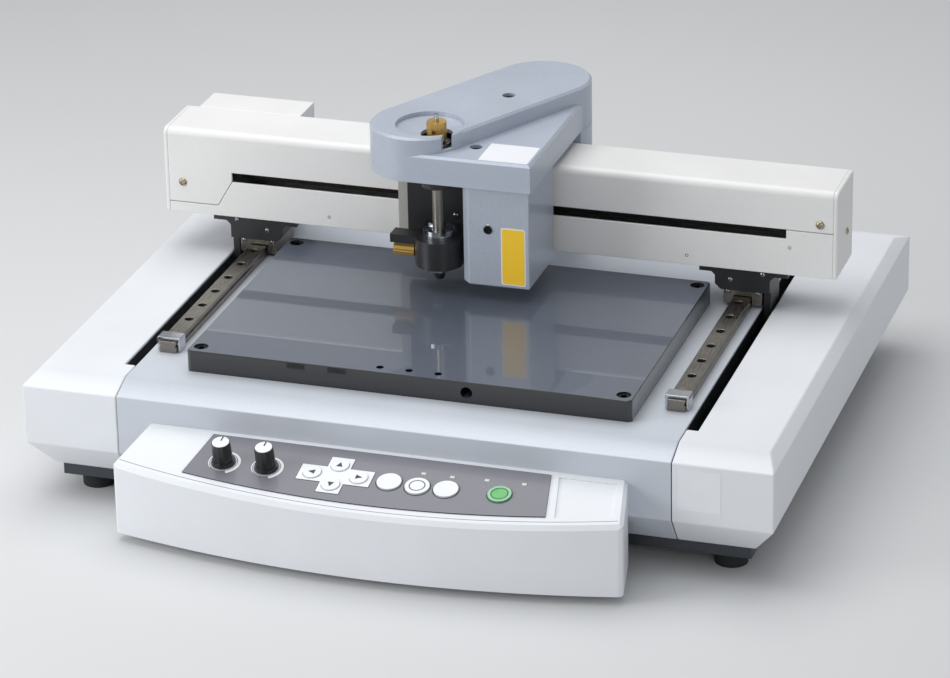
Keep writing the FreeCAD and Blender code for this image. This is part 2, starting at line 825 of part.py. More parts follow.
def make_chassis():
    """Pan with a turned up rim and rear wall, rail supports, cross bars and the front idler pins."""
    side, front, rear = base_half - tuck_run - cover_wall - 1, base_front + tuck_run + 3, base_rear - tuck_run - 3
    floor, rim = foot_height, foot_height + pan_rim
    pan = cut("pan", block("pan_block", (-side, side), (front, rear), (floor, rim)),
              block("pan_room", (-side + pan_sheet, side - pan_sheet), (front + pan_sheet, rear - pan_sheet),
                    (floor + pan_sheet, rim + 1)))
    wall_top = deck_height - deck_sheet
    rear_wall = block("rear_wall", (-deck_half, deck_half), (base_rear - deck_sheet, base_rear),
                      (cover_bottom + tuck_rise, wall_top - 3))
    slope = [(base_rear - rear_bevel + 0.3, deck_height), (base_rear - rear_bevel + 0.3, wall_top),
             (base_rear - deck_sheet, wall_top - 3), (base_rear, wall_top - 3), (base_rear, deck_height - bevel_drop)]
    rear_top = prism("rear_top", "YZ_Plane", slope, (-deck_half, deck_half))
    low = [(base_rear - deck_sheet, cover_bottom + tuck_rise), (base_rear, cover_bottom + tuck_rise),
           (rear, floor + pan_sheet + 5), (rear, floor), (rear - pan_sheet, floor)]
    rear_low = prism("rear_low", "YZ_Plane", low, (-deck_half, deck_half))
    parts = [pan, rear_wall, rear_top, rear_low]
    channel = [(support_inner, floor + pan_sheet), (support_outer, floor + pan_sheet),
               (support_outer, wall_top), (support_inner, wall_top), (support_inner, wall_top - support_wall),
               (support_outer - support_wall, wall_top - support_wall),
               (support_outer - support_wall, floor + pan_sheet + support_wall),
               (support_inner, floor + pan_sheet + support_wall)]
    support = prism("rail_support", "XZ_Plane", channel, (support_front, support_rear))
    pin = bar("idler_pin", "x", (support_outer - support_wall, belt_x + belt_width), idler_y, drive_height,
              shaft_radius)
    parts += [support, reflect("rail_support_left", support), pin, reflect("idler_pin_left", pin)]
    for i, y in enumerate((table_front + fixing_inset_end, table_rear - fixing_inset_end)):
        bar_height = (wall_top - cross_bar_height, wall_top)
        parts.append(block(f"cross_bar_{i}", (-support_inner, support_inner), (y - 8, y + 8), bar_height))
    stand = block("motor_stand", (-motor_side / 2, motor_side / 2),
                  (shaft_y - motor_side / 2, shaft_y + motor_side / 2),
                  (floor + pan_sheet, drive_height - motor_side / 2))
    whole = join("chassis_whole", *parts, stand)
    bores = [bar("shaft_bore", "x", (-deck_half, deck_half), shaft_y, drive_height, shaft_radius + running_gap)]
    bores.append(block("inlet_hole", inlet_x, (base_rear - 4, base_rear + 1), inlet_z))
    bores.append(block("data_hole", data_x, (base_rear - 4, base_rear + 1), data_z))
    keep("chassis", cut("chassis", whole, *bores))


def make_feet():
    side, front, rear = base_half - foot_inset, base_front + foot_inset, base_rear - foot_inset
    feet = []
    for i, (x, y) in enumerate([(side, front), (side, rear), (-side, front), (-side, rear)]):
        feet.append(post(f"foot_{i}", x, y, (0, foot_height), foot_radius))
    keep("rubber_feet", group("rubber_feet", feet))


def make_rear_sockets():
    """Mains inlet and data socket, each a flange on the rear wall with its housing behind."""
    solids = []
    for name, x, z, depth, rim in (("inlet", inlet_x, inlet_z, 22, 4), ("data", data_x, data_z, 14, 2)):
        mouth = block(name + "_mouth", (x[0] + 2, x[1] - 2), (base_rear - depth + 4, base_rear + 1),
                      (z[0] + 2, z[1] - 2))
        inner = block(name + "_housing", (x[0] + 0.2, x[1] - 0.2), (base_rear - depth, base_rear),
                      (z[0] + 0.2, z[1] - 0.2))
        face = block(name + "_flange", (x[0] - rim, x[1] + rim), (base_rear - deck_sheet - 2, base_rear - deck_sheet),
                     (z[0] - 2, z[1] + 2))
        solids.append(cut(name + "_socket", join(name + "_body", inner, face), mouth))
    keep("rear_sockets", group("rear_sockets", solids))


def make_electronics():
    """Power supply and control board, standing on the pan between the rail supports."""
    floor = foot_height + pan_sheet
    supply = block("supply", (-140, -50), (40, 160), (floor, floor + 38))
    pillars = [block(f"pillar_{i}", (x - 3, x + 3), (y - 3, y + 3), (floor, floor + 8))
               for i, (x, y) in enumerate([(-20, -90), (120, -90), (-20, 40), (120, 40)])]
    board = block("control_board", (-28, 128), (-98, 48), (floor + 8, floor + 9.6))
    sinks = [block(f"heat_sink_{i}", (x, x + 14), (-80, -50), (floor + 9.6, floor + 26)) for i, x in
             enumerate((-10, 20, 50, 80))]
    keep("electronics", group("electronics", [supply, join("board_on_pillars", board, *pillars, *sinks)]))


# Linear guides and the belt drive along them

def guide_section(x, z, width, height, groove):
    """The section of a guide rail, with a running groove in each side."""
    left, right = x - width / 2, x + width / 2
    low, high = z + height * 0.45, z + height * 0.75
    return [(left, z), (right, z), (right, low), (right - groove, (low + high) / 2), (right, high),
            (right, z + height), (left, z + height), (left, high), (left + groove, (low + high) / 2), (left, low)]


def make_linear_rails():
    rail_rear = rail_front + rail_length
    body = prism("linear_rail", "XZ_Plane", guide_section(rail_x, deck_height, rail_width, rail_height, rail_groove),
                 (rail_front, rail_rear))
    first = rail_front + rail_first_hole
    rim = polygon(rail_hole_radius, RAIL_HOLE_SIDES, rail_x, first)
    heads = pocket(body, "rail_heads", "XY_Plane", rail_top, lambda face: outline(face, rim), rail_hole_depth)
    repeat(body, "rail_row", [heads], "Y_Axis", rail_pitch, RAIL_HOLES)
    pair("linear_rails", body)


def repeat(body, name, features, axis, pitch, count):
    """Repeat features along one of the body's axes at a pitch."""
    item = body.newObject("PartDesign::LinearPattern", name)
    item.Originals = features
    item.Direction = ([part for part in body.Origin.OriginFeatures if part.Role == axis][0], [""])
    item.Occurrences = count
    bind(item, "Length", pitch * (count - 1))
    body.Tip = item
    return item


def repeat_round(body, name, features, count):
    """Repeat features round the body's own upright axis."""
    item = body.newObject("PartDesign::PolarPattern", name)
    item.Originals = features
    item.Axis = ([part for part in body.Origin.OriginFeatures if part.Role == "Z_Axis"][0], [""])
    item.Angle = 360
    item.Occurrences = count
    body.Tip = item
    return item


def make_rail_stops():
    """A bright saddle clamped over each end of each rail."""
    rail_rear = rail_front + rail_length
    stops = []
    for i, y in enumerate((rail_front + stop_inset, rail_rear - stop_inset - stop_length)):
        half = rail_width / 2
        saddle = block(f"stop_block_{i}", (rail_x - half - stop_cheek, rail_x + half + stop_cheek),
                       (y, y + stop_length), (deck_height, rail_top + stop_cheek))
        room = block(f"stop_room_{i}", (rail_x - half - 0.05, rail_x + half + 0.05), (y - 1, y + stop_length + 1),
                     (deck_height - 1, rail_top + 0.05))
        right = cut(f"rail_stop_{i}", saddle, room)
        stops += [right, reflect(f"rail_stop_left_{i}", right)]
    keep("rail_stops", group("rail_stops", stops))


def make_belts():
    span = (belt_x - belt_width / 2, belt_x + belt_width / 2)
    belt = loop_belt("y_belt", "YZ_Plane", idler_y, shaft_y, drive_height, pulley_radius, span)
    pair("y_belts", belt)
    keep("x_belt", loop_belt("x_belt", "XZ_Plane", x_drive_x, x_idler_x, slot_middle, pulley_radius,
                             (x_belt_y - belt_width / 2, x_belt_y + belt_width / 2)))


def along_x(item, x, y, z):
    return locate(item, x, y, z, FreeCAD.Rotation(V(0, 1, 0), 90))


def along_y(item, x, y, z):
    return locate(item, x, y, z, FreeCAD.Rotation(V(1, 0, 0), -90))


def make_pulleys():
    right = along_x(pulley("drive_pulley", pulley_radius, belt_width, shaft_radius), belt_x, shaft_y, drive_height)
    left = reflect("drive_pulley_left", right)
    shaft = bar("shaft_bar", "x", (-belt_x - belt_width, belt_x + belt_width), shaft_y, drive_height, shaft_radius)
    keep("cross_shaft", join("cross_shaft", right, left, shaft))
    idler = along_x(pulley("front_pulley", pulley_radius, belt_width, shaft_radius + running_gap, False), belt_x,
                    idler_y, drive_height)
    pair("y_idlers", idler)
    axle = (-pulley_half, frame_front + frame_wall + motor_bore_depth - x_belt_y)
    drive = driven("x_drive", pulley("x_drive_wheel", pulley_radius, belt_width), axle, x_axle_radius)
    keep("x_drive_pulley", along_y(drive, x_drive_x, x_belt_y, slot_middle))
    wheel = pulley("x_idler", pulley_radius, belt_width, x_axle_radius + running_gap, False)
    keep("x_idler_pulley", along_y(wheel, x_idler_x, x_belt_y, slot_middle))


def stepper(name, bore, low, high, side):
    """A square stepping motor with bevelled corners and end bells, standing on its own axis."""
    half, bevel = side / 2, side / 10
    points = [(-half + bevel, -half), (half - bevel, -half), (half, -half + bevel), (half, half - bevel),
              (half - bevel, half), (-half + bevel, half), (-half, half - bevel), (-half, -half + bevel)]
    body = prism(name + "_body", "XY_Plane", points, (low, high))
    waist = cut(name + "_waist", block(name + "_band", (-half - 1, half + 1), (-half - 1, half + 1),
                                       (low + 9, high - 9)),
                block(name + "_core", (-half + 0.8, half - 0.8), (-half + 0.8, half - 0.8), (low + 8, high - 8)))
    return cut(name + "_motor", body, waist, bore)


def make_stepping_motors():
    bore = post("y_motor_bore", 0, 0, (-motor_length, motor_length), shaft_radius + running_gap)
    keep("y_motor", along_x(stepper("y_axis", bore, -motor_length / 2, motor_length / 2, motor_side), 0, shaft_y,
                            drive_height))
    bore = post("x_motor_bore", 0, 0, (-1, motor_bore_depth + 0.1), x_axle_radius + running_gap)
    keep("x_motor", along_y(stepper("x_axis", bore, 0, motor_length, motor_side), x_drive_x,
                            frame_front + frame_wall, slot_middle))
    bore = post("z_motor_bore", 0, 0, (-1, 10), screw_radius + running_gap)
    keep("z_motor", locate(stepper("z_axis", bore, 0, z_motor_length, z_motor_side), screw_x, screw_y,
                           head_plate_low - z_motor_length))


# Control panel: pieces stand square to its slope, placed across it and forward of the base

def on_panel(item, across=0, forward=0, above=0):
    y = base_front - forward - above * slope_sine
    z = panel_back_height - forward * slope_sine / slope_cosine + above * slope_cosine
    locate(item, panel_middle + across, y, z, FreeCAD.Rotation(V(1, 0, 0), 10))
    item.setExpression("Placement.Rotation.Angle", f"atan({panel_drop.text} / {panel_reach.text})")
    return item


def panel_block(name, across, forward, half_across, half_along, span):
    """A block square to the panel's slope, about a place on it, between two heights over it."""
    solid = block(name, (0, half_across * 2), (0, half_along * 2), (0, as_size(span[1]) - span[0]))
    return on_panel(solid, across - half_across, forward + half_along * slope_cosine, span[0])


def panel_holes(name, round_keys):
    """Holes for every key, dial shaft and lamp, through whatever lies on the panel."""
    span = (-panel_wall - 1, overlay_thick + 1)
    holes = []
    for key, (across, forward, radius) in {**KEYS, **DIALS}.items():
        half = radius + key_gap
        if round_keys and key in KEYS:
            holes.append(on_panel(post(f"{name}_{key}", 0, 0, span, half), across, forward, span[0]))
        else:
            holes.append(panel_block(f"{name}_{key}", across, forward, half, half, span))
    for key, (across, forward) in LAMPS.items():
        holes.append(panel_block(f"{name}_{key}", across, forward, lamp_half_width + lamp_gap,
                                 lamp_half_depth + lamp_gap, span))
    return holes


def panel_solid(name, shrink):
    """The panel's wedge; shrink brings every face but the one on the base in by a wall."""
    mid, front = panel_middle, base_front
    rear = front + shrink
    points = [(mid + panel_rear_half - shrink, rear), (mid - panel_rear_half + shrink, rear),
              (mid - panel_front_half + shrink, front - panel_end_reach + shrink),
              (mid + panel_front_half - shrink, front - panel_end_reach + shrink,
               (mid, front - panel_reach + shrink))]
    body = prism(name, "XY_Plane", points, (panel_bottom + shrink, panel_back_height + shrink))
    far = panel_reach + 5
    fall = slope_sine / slope_cosine
    top = panel_back_height - shrink / slope_cosine
    slope = [(rear, top + shrink * fall), (front - far, top - far * fall),
             (front - far, panel_back_height + shrink + 1), (rear, panel_back_height + shrink + 1)]
    face = outline(sketch(body, name + "_slope", "YZ_Plane"), slope)
    feature(body, "Pocket", face, through=True)
    doc.recompute()
    return body


def make_panel_housing():
    body = panel_solid("panel_block", as_size(0))
    dress(body, "Chamfer", edges_where(body, panel_top_edge), panel_bevel)
    dress(body, "Fillet", edges_where(body, lambda edge: upright_edge(edge) and edge.BoundBox.YMin <
                                      base_front.number - 1), panel_corner)
    room = panel_solid("panel_room", panel_wall)
    recess = on_panel(prism("panel_recess", "XY_Plane", blank_outline(), (-recess_depth, 5)))
    hollow = cut("panel_hollow", body, room)
    keep("panel_housing", cut("panel_housing", hollow, recess, *panel_holes("housing", False)))


def panel_top_edge(edge):
    """Edges round the sloping top, but for the one along the base."""
    box = edge.BoundBox
    slope = slope_sine.number / slope_cosine.number
    on_slope = all(abs(point.z - panel_back_height.number - (point.y - base_front.number) * slope) < 1e-3
                   for point in edge.discretize(5))
    return on_slope and box.YMin < base_front.number - 1


def blank_outline():
    """A blank field on the right of the panel, in the panel's own plane."""
    down = as_size(1) / slope_cosine
    return [(119.3, -4.4 * down), (127.6, -43.6 * down), (164, -37 * down), (157.4, -4.4 * down)][::-1]


def make_panel_overlay():
    down = as_size(1) / slope_cosine
    points = [(overlay_rear_right, -overlay_margin * down), (-overlay_rear_left, -overlay_margin * down),
              (-overlay_front_left, -overlay_end * down),
              (overlay_front_right, -overlay_end * down,
               ((overlay_front_right - overlay_front_left) / 2, -(panel_reach - overlay_border) * down))]
    film = on_panel(prism("overlay_film", "XY_Plane", points, (0, overlay_thick)))
    keep("panel_overlay", cut("panel_overlay", film, *panel_holes("overlay", True)))


def make_keys():
    """Round caps with two lugs that catch under the housing, each on a square stem over its switch."""
    top = overlay_thick + key_proud
    seat = -panel_wall - key_gap
    low = seat - lug_thick
    for name, (across, forward, radius) in KEYS.items():
        reach = radius + lug_reach
        cap = post(name + "_cap", 0, 0, (low, top), radius)
        lugs = block(name + "_lugs", (-reach, reach), (-lug_half, lug_half), (low, seat))
        stem = block(name + "_stem", (-stem_half, stem_half), (-stem_half, stem_half),
                     (switch_top + key_travel + key_gap, low))
        keep(name, on_panel(join(name, cap, lugs, stem), across, forward))


def make_knobs():
    """A fluted grip, slightly tapered, on a skirt with flat sides, bored for the dial's shaft."""
    low = overlay_thick + key_gap
    top = low + knob_height
    for name, (across, forward, radius) in DIALS.items():
        skirt = prism(name + "_skirt", "XY_Plane", polygon(skirt_radius, SKIRT_SIDES), (low, low + skirt_height))
        grip = tapered(name + "_grip", fluted(knob_radius, knob_flute, KNOB_FLUTES),
                       fluted(knob_radius - knob_taper, knob_flute, KNOB_FLUTES), (low, top))
        bore = post(name + "_bore", 0, 0, (low - 1, top - knob_crown), radius + running_gap)
        keep(name, on_panel(cut(name, join(name + "_blank", skirt, grip), bore), across, forward))


def make_panel_board():
    """Circuit board hung from the two dial bodies, with a switch under each key."""
    down = as_size(1) / slope_cosine
    under = -board_drop
    parts = [block("board_plate", (-112, 112), (-44 * down, -8 * down), (under - board_thick, under))]
    lamp_top = overlay_thick + lamp_gap
    lamp_low = lamp_top - lamp_length

    def column(name, across, forward, half, high):
        middle = -forward * down
        parts.append(block(name, (across - half, across + half), (middle - half, middle + half), (under, high)))
    for name, (across, forward, radius) in DIALS.items():
        column(name + "_body", across, forward, dial_body_half, -panel_wall)
        parts.append(post(name + "_shaft", across, -forward * down,
                          (under, overlay_thick + key_gap + knob_height - knob_crown - lamp_gap), radius))
    for name, (across, forward, radius) in KEYS.items():
        column(name + "_switch", across, forward, switch_half, switch_top)
    for name, (across, forward) in LAMPS.items():
        column(name + "_lead", across, forward, lead_half, lamp_low - lamp_gap)
    keep("panel_board", on_panel(join("panel_board", *parts)))
    lamps = [panel_block(name, across, forward, lamp_half_width, lamp_half_depth, (lamp_low, lamp_top))
             for name, (across, forward) in LAMPS.items()]
    keep("status_lamps", group("status_lamps", lamps))


# Gantry: blocks on the rails, brackets, frame, sheet covers and the cross drive

def guide_block(name, x, y, z, gap_z):
    """A carriage block round a rail along Y, whose foot is at z and whose top is at block_top."""
    half = block_width / 2
    solid = block(name + "_solid", (x - half, x + half), y, (z + gap_z, z + block_stack))
    room = block(name + "_room", (x - rail_width / 2 - guide_gap, x + rail_width / 2 + guide_gap),
                 (y[0] - 1, y[1] + 1), (z - 1, z + rail_height + guide_gap))
    return cut(name, solid, room)


def make_rail_blocks():
    span = (beam_middle - block_length / 2, beam_middle + block_length / 2)
    pair("rail_blocks", guide_block("rail_block", rail_x, span, deck_height, 2))


def make_brackets():
    low, top, thick = block_top, beam_bottom, flange_thick
    foot_left, foot_right = rail_x - block_width / 2, arm_x - arm_thick / 2
    rear = bracket_front + bracket_depth
    points = [(flange_left, top), (flange_left, top - thick), (foot_left - 8, top - thick),
              (foot_left - 5.5, top - thick - 2.5), (foot_left - 5.5, low + 4), (foot_left - 1.5, low),
              (foot_right + arm_thick, low), (foot_right + arm_thick, top - thick - 3),
              (foot_right + arm_thick + 3, top - thick), (flange_right, top - thick), (flange_right, top)]
    casting = prism("bracket_casting", "XZ_Plane", points, (bracket_front, rear))
    room = block("bracket_room", (foot_left, foot_right), (bracket_front + 5, rear + 1), (low + 3, top - thick))
    arm_y = (bracket_front + 4, bracket_front + 4 + arm_length)
    arm = block("bracket_arm", (foot_right, foot_right + arm_thick), arm_y, (belt_top - 8, low + 1))
    clamp = block("belt_clamp", (belt_x - belt_width / 2 - 2.4, belt_x + belt_width / 2 + 2.4), arm_y,
                  (belt_top - 8, belt_top + 5))
    belt_room = block("belt_room", (belt_x - belt_width / 2 - guide_gap, belt_x + belt_width / 2 + guide_gap),
                      (arm_y[0] - 1, arm_y[1] + 1), (belt_top - belt_thick - guide_gap, belt_top + guide_gap))
    right = cut("bracket", join("bracket_whole", casting, arm, clamp), room, belt_room)
    pair("gantry_brackets", right)


def beam_section(shrink):
    """The beam's outer section in the YZ plane, rounded along its top front edge."""
    front, rear = beam_front + shrink, beam_rear - shrink
    low, top = beam_bottom + shrink, beam_top - shrink
    bend = beam_bend - shrink
    reach = bend * (1 - math.sqrt(0.5))
    return [(rear, low), (rear, top), (front + bend, top), (front, top - bend, (front + reach, top - reach)),
            (front, low)]


def make_beam():
    half = beam_half - cap_thick
    tube = cut("beam_tube", prism("beam_skin", "YZ_Plane", beam_section(0), (-half, half)),
               prism("beam_inside", "YZ_Plane", beam_section(beam_sheet), (-half - 1, half + 1)))
    left_seam, right_seam = slot_low - seam_fall, slot_high - seam_gap
    lower = [(half, beam_bottom), (half, right_seam), (beam_slot_right, right_seam), (beam_slot_right, slot_low),
             (-beam_slot_left, slot_low), (-beam_slot_left - seam_run, left_seam), (-half, left_seam),
             (-half, beam_bottom)]
    reach = (beam_front - 1, beam_front + beam_sheet + 0.01)
    front_zone = prism("front_zone", "XZ_Plane", lower, reach)
    floor_zone = block("floor_zone", (-half, half), (beam_front, beam_rear - beam_sheet),
                       (beam_bottom - 1, beam_bottom + beam_sheet))
    keep("beam_front_plate", overlap("beam_front_plate", tube, join("plate_zone", front_zone, floor_zone)))
    upper = [(half + 1, slot_high), (-beam_slot_left, slot_high), (-beam_slot_left, slot_low + seam_gap),
             (-beam_slot_left - seam_run, left_seam + seam_gap), (-half - 1, left_seam + seam_gap),
             (-half - 1, beam_top + 1), (half + 1, beam_top + 1)]
    top_zone = prism("top_zone", "XZ_Plane", upper, reach)
    rear_zone = block("rear_zone", (-half, half), (beam_front + beam_sheet, beam_rear + 1),
                      (beam_bottom + beam_sheet + seam_gap, beam_top + 1))
    window = block("motor_window", (x_drive_x - motor_side / 2 - 1, x_drive_x + motor_side / 2 + 1),
                   (beam_rear - beam_sheet - 1, beam_rear + 1),
                   (slot_middle - motor_side / 2 - 1, slot_middle + motor_side / 2 + 1))
    upper_skin = overlap("upper_skin", tube, join("skin_zone", top_zone, rear_zone))
    keep("beam_top_cover", cut("beam_top_cover", upper_skin, window))
    cap = prism("end_cap", "YZ_Plane", beam_section(0), (beam_half - cap_thick, beam_half))
    doc.recompute()
    dress(cap, "Chamfer", edges_where(cap, lambda edge: edge.BoundBox.XMin > beam_half.number - 1e-4), cap_edge)
    tab = block("cap_tab", (half - cap_tab, half + 0.5), (frame_front + frame_wall, frame_front + frame_wall + 12),
                (slot_middle - 12, slot_middle + 4))
    pair("beam_end_caps", join("beam_cap", cap, tab))


def make_beam_frame():
    """A channel with its back to the front, carrying the cross rail, motor and idler pin."""
    half = beam_half - cap_thick - frame_end_gap
    rear, low, top = beam_rear - beam_sheet - 0.2, beam_bottom + beam_sheet, beam_top - beam_sheet - 0.2
    wall = frame_wall
    points = [(frame_front, low), (rear, low), (rear, low + wall), (frame_front + wall, low + wall),
              (frame_front + wall, top - wall), (rear, top - wall), (rear, top), (frame_front, top)]
    channel = prism("frame_channel", "YZ_Plane", points, (-half, half))
    pin = bar("x_idler_pin", "y", (x_belt_y - pulley_half, frame_front + 1), x_idler_x, slot_middle, x_axle_radius)
    hole = bar("x_axle_hole", "y", (frame_front - 1, frame_front + wall + 1), x_drive_x, slot_middle,
               motor_register_radius)
    keep("beam_frame", cut("beam_frame", join("frame_with_pin", channel, pin), hole))


def make_x_rail():
    y, z = frame_front, slot_middle
    half, deep = rail_width / 2, rail_height
    points = [(y, z - half), (y, z + half), (y - deep * 0.45, z + half), (y - deep * 0.6, z + half - rail_groove),
              (y - deep * 0.75, z + half), (y - deep, z + half), (y - deep, z - half),
              (y - deep * 0.75, z - half), (y - deep * 0.6, z - half + rail_groove), (y - deep * 0.45, z - half)]
    keep("x_rail", prism("x_rail", "YZ_Plane", points, (-x_rail_half, x_rail_half)))
    slide = block("x_block_solid", (axis_x - block_length / 2 + tongue_middle, axis_x + block_length / 2 +
                                    tongue_middle), (y - block_stack, y - 2),
                  (z - block_width / 2, z + block_width / 2))
    room = block("x_block_room", (-beam_half, beam_half), (y - rail_height - guide_gap, y + 1),
                 (z - half - guide_gap, z + half + guide_gap))
    keep("x_rail_block", cut("x_rail_block", slide, room))


def make_x_motor_cover():
    left, right = -beam_half + motor_box_left, -beam_half + motor_box_left + motor_box_width
    y = (beam_rear, beam_rear + motor_box_depth)
    wall = beam_sheet
    outside = block("motor_box", (left, right), y, (beam_bottom, beam_top))
    inside = block("motor_box_room", (left + wall, right - wall), (y[0] - 1, y[1] - wall),
                   (beam_bottom + wall, beam_top - wall))
    keep("x_motor_cover", cut("x_motor_cover", outside, inside))


# Carriage along the beam, with the guide for the head

def make_carriage():
    left, right = axis_x - plate_left, axis_x + plate_right
    y = (plate_front, plate_front + plate_thick)
    z = (carriage_low, carriage_high)
    plate = block("plate_sheet", (left, right), y, z)
    tongue_z = (slot_middle - tongue_thick / 2, slot_middle + tongue_thick / 2)
    block_front = frame_front - block_stack
    tongue = block("plate_tongue", (axis_x - tongue_left, axis_x + tongue_right), (y[1] - 0.5, block_front),
                   tongue_z)
    middle = axis_x + tongue_middle
    clamp = block("tongue_clamp", (middle - 10, middle + 10),
                  (x_belt_y - belt_width / 2 - 1, x_belt_y + belt_width / 2 + 0.8),
                  (slot_middle, slot_middle + pulley_radius + belt_thick + 3))
    belt_low = slot_middle + pulley_radius + belt_gap
    belt_room = block("tongue_belt_room", (middle - 11, middle + 11),
                      (x_belt_y - belt_width / 2 - guide_gap, x_belt_y + belt_width / 2 + guide_gap),
                      (belt_low - guide_gap, belt_low + belt_thick + guide_gap))
    arm = block("lift_arm", (screw_x - 10, screw_x + 10), (screw_y - 10, y[0] + 0.5), (nut_low, nut_low + nut_height))
    bore = post("lift_bore", screw_x, screw_y, (nut_low - 1, nut_low + nut_height + 1), screw_radius + running_gap)
    keep("carriage_plate", cut("carriage_plate", join("plate_whole", plate, tongue, clamp, arm), belt_room, bore))
    rail = block("z_rail_bar", (z_rail_x - z_rail_width / 2, z_rail_x + z_rail_width / 2),
                 (plate_front - z_rail_height, plate_front), (carriage_low + 2, carriage_high))
    keep("z_guide_rail", rail)


# Head: casting, slide, lift screw, spindle and covers

def cover_ends():
    """The middles of the belt cover's two round ends, over the spindle and over its motor."""
    return (axis_x - cover_front_x, axis_y + cover_front_y), (axis_x + cover_rear_x, axis_y + cover_rear_y)


def cover_plan(radius):
    """Plan of the belt cover: an arc round each end and the straight sides that join them."""
    (ax, ay), (bx, by) = cover_ends()
    dx, dy = bx - ax, by - ay
    length = root(dx * dx + dy * dy)
    ux, uy = dx / length * radius, dy / length * radius
    return [(ax + uy, ay - ux, (ax - ux, ay - uy)), (bx + uy, by - ux),
            (bx - uy, by + ux, (bx + ux, by + uy)), (ax - uy, ay + ux)]


def shelf_plan(shrink):
    """Plan of the low shelf to the right of the belt cover's ends."""
    (ax, ay), (bx, by) = cover_ends()
    front, right = axis_y - shelf_front + shrink, axis_x + shelf_right - shrink
    return [(ax, front), (right, front), (right, by - shelf_rear), (bx, by), (ax, ay)]


def make_belt_cover():
    shells = []
    for name, shrink, low in (("cover_skin", as_size(0), cover_skirt), ("cover_room", shell_wall, cover_skirt - 1)):
        tall = prism(name + "_tall", "XY_Plane", cover_plan(cover_radius - shrink), (low, cover_top - shrink))
        shelf = prism(name + "_shelf", "XY_Plane", shelf_plan(shrink), (low, shelf_height - shrink))
        if not shrink.number:
            doc.recompute()
            dress(tall, "Chamfer", edges_where(tall, lambda edge: at_height(edge, cover_top)), cover_edge)
            dress(shelf, "Chamfer", edges_where(shelf, lambda edge: at_height(edge, shelf_height)), cover_edge)
        shells.append(join(name, tall, shelf))
    dish_x, dish_y = axis_x - dish_offset_x, axis_y + dish_offset_y
    floor = cover_top - dish_depth
    boss = post("dish_boss", dish_x, dish_y, (floor - shell_wall, cover_top - 0.5), dish_radius + shell_wall)
    dish = post("dish", dish_x, dish_y, (floor, cover_top + 1), dish_radius)
    hole = post("spindle_hole", axis_x, axis_y, (cover_skirt, cover_top + 1), dish_hole)
    vent = post("top_hole", axis_x + 27.6, axis_y + 75.1, (cover_skirt, cover_top + 1), 4.5)
    driver = post("shelf_hole", axis_x + 26.4, axis_y + 3.8, (cover_skirt, cover_top + 1), 4.3)
    notch = block("wall_slot", (axis_x + 7.2, axis_x + 12.6), (axis_y - 20, axis_y + 2), (shelf_height + 1.5, cover_top))
    skin = cut("cover_shell_rough", shells[0], shells[1])
    keep("belt_cover", cut("belt_cover", join("cover_with_boss", skin, boss), dish, hole, vent, driver, notch))


def make_motor_shroud():
    motor_end = cover_ends()[1]
    zone = []
    for name, shrink in (("shroud_skin", as_size(0)), ("shroud_room", shell_wall)):
        low = shroud_bottom + shrink
        tall = prism(name + "_tall", "XY_Plane", cover_plan(cover_radius - shrink), (low, head_plate_low))
        near = block(name + "_zone", (motor_end[0] - cover_radius + shrink, beam_half),
                     (axis_y + shroud_front + shrink, base_rear), (low - 1, head_plate_low + 1))
        zone.append(overlap(name, tall, near))
    keep("motor_shroud", cut("motor_shroud", zone[0], zone[1]))


def make_head_box():
    front, rear = axis_y - box_front, plate_front - 1
    left, right = axis_x + box_left, axis_x + box_right
    wall = box_wall
    outer = [(left, rear), (left, front + box_chamfer), (left + box_chamfer, front), (right, front), (right, rear)]
    inner = [(left + wall, rear + 1), (left + wall, front + box_chamfer + wall / 2),
             (left + box_chamfer + wall / 2, front + wall), (right - wall, front + wall), (right - wall, rear + 1)]
    skin = prism("box_skin", "XY_Plane", outer[::-1], (box_bottom, head_plate_low))
    room = prism("box_room", "XY_Plane", inner[::-1], (box_bottom + wall, head_plate_low + 1))
    doc.recompute()
    dress(skin, "Fillet", edges_where(skin, lambda edge: at_height(edge, box_bottom) and
                                      edge.BoundBox.YMin < rear.number - 1), 1.5)
    keep("head_box", cut("head_box", skin, room))


def make_head_casting():
    """Back plate, bearing housings for the spindle, and the plate that reaches over the beam."""
    right = axis_x + box_left - 0.2
    back_y = (axis_y + casting_back - casting_thick, axis_y + casting_back)
    top = head_plate_low + head_plate_thick
    back = block("casting_back", (axis_x - casting_left, right), back_y, (casting_low, head_plate_low + 0.5))
    parts = [back]
    for name, low, high, radius in (("lower", block_low, block_high, lower_radius),
                                    ("upper", upper_low, drive_belt_low - 2, upper_radius)):
        parts.append(post(name + "_bearing", axis_x, axis_y, (low, high), radius))
        reach_top = high if name == "lower" else head_plate_low
        parts.append(block(name + "_arm", (axis_x - radius, axis_x + radius), (axis_y, back_y[0] + 0.5),
                           (low, reach_top)))
    parts.append(prism("over_plate", "XY_Plane", cover_plan(cover_radius), (head_plate_low, top)))
    parts.append(prism("shelf_plate", "XY_Plane", shelf_plan(0), (head_plate_low, top)))
    boss_x = (axis_x - boss_left, axis_x - lower_radius + 4)
    parts.append(block("lock_boss", boss_x, (axis_y - 6, axis_y + 6), (block_high - 6, block_high)))
    whole = join("casting_whole", *parts)
    bores = [post("spindle_bore", axis_x, axis_y, (casting_low, cover_top), sleeve_radius + running_gap),
             post("motor_bore", axis_x + motor_x, axis_y + motor_y, (head_plate_low - 1, top + 1), 6),
             bar("thumb_bore", "x", (axis_x - lower_radius - 1, axis_x - lower_radius + thumb_screw_in), axis_y,
                 thumb_height, thumb_shank_radius + running_gap)]
    keep("head_casting", cut("head_casting", whole, *bores))


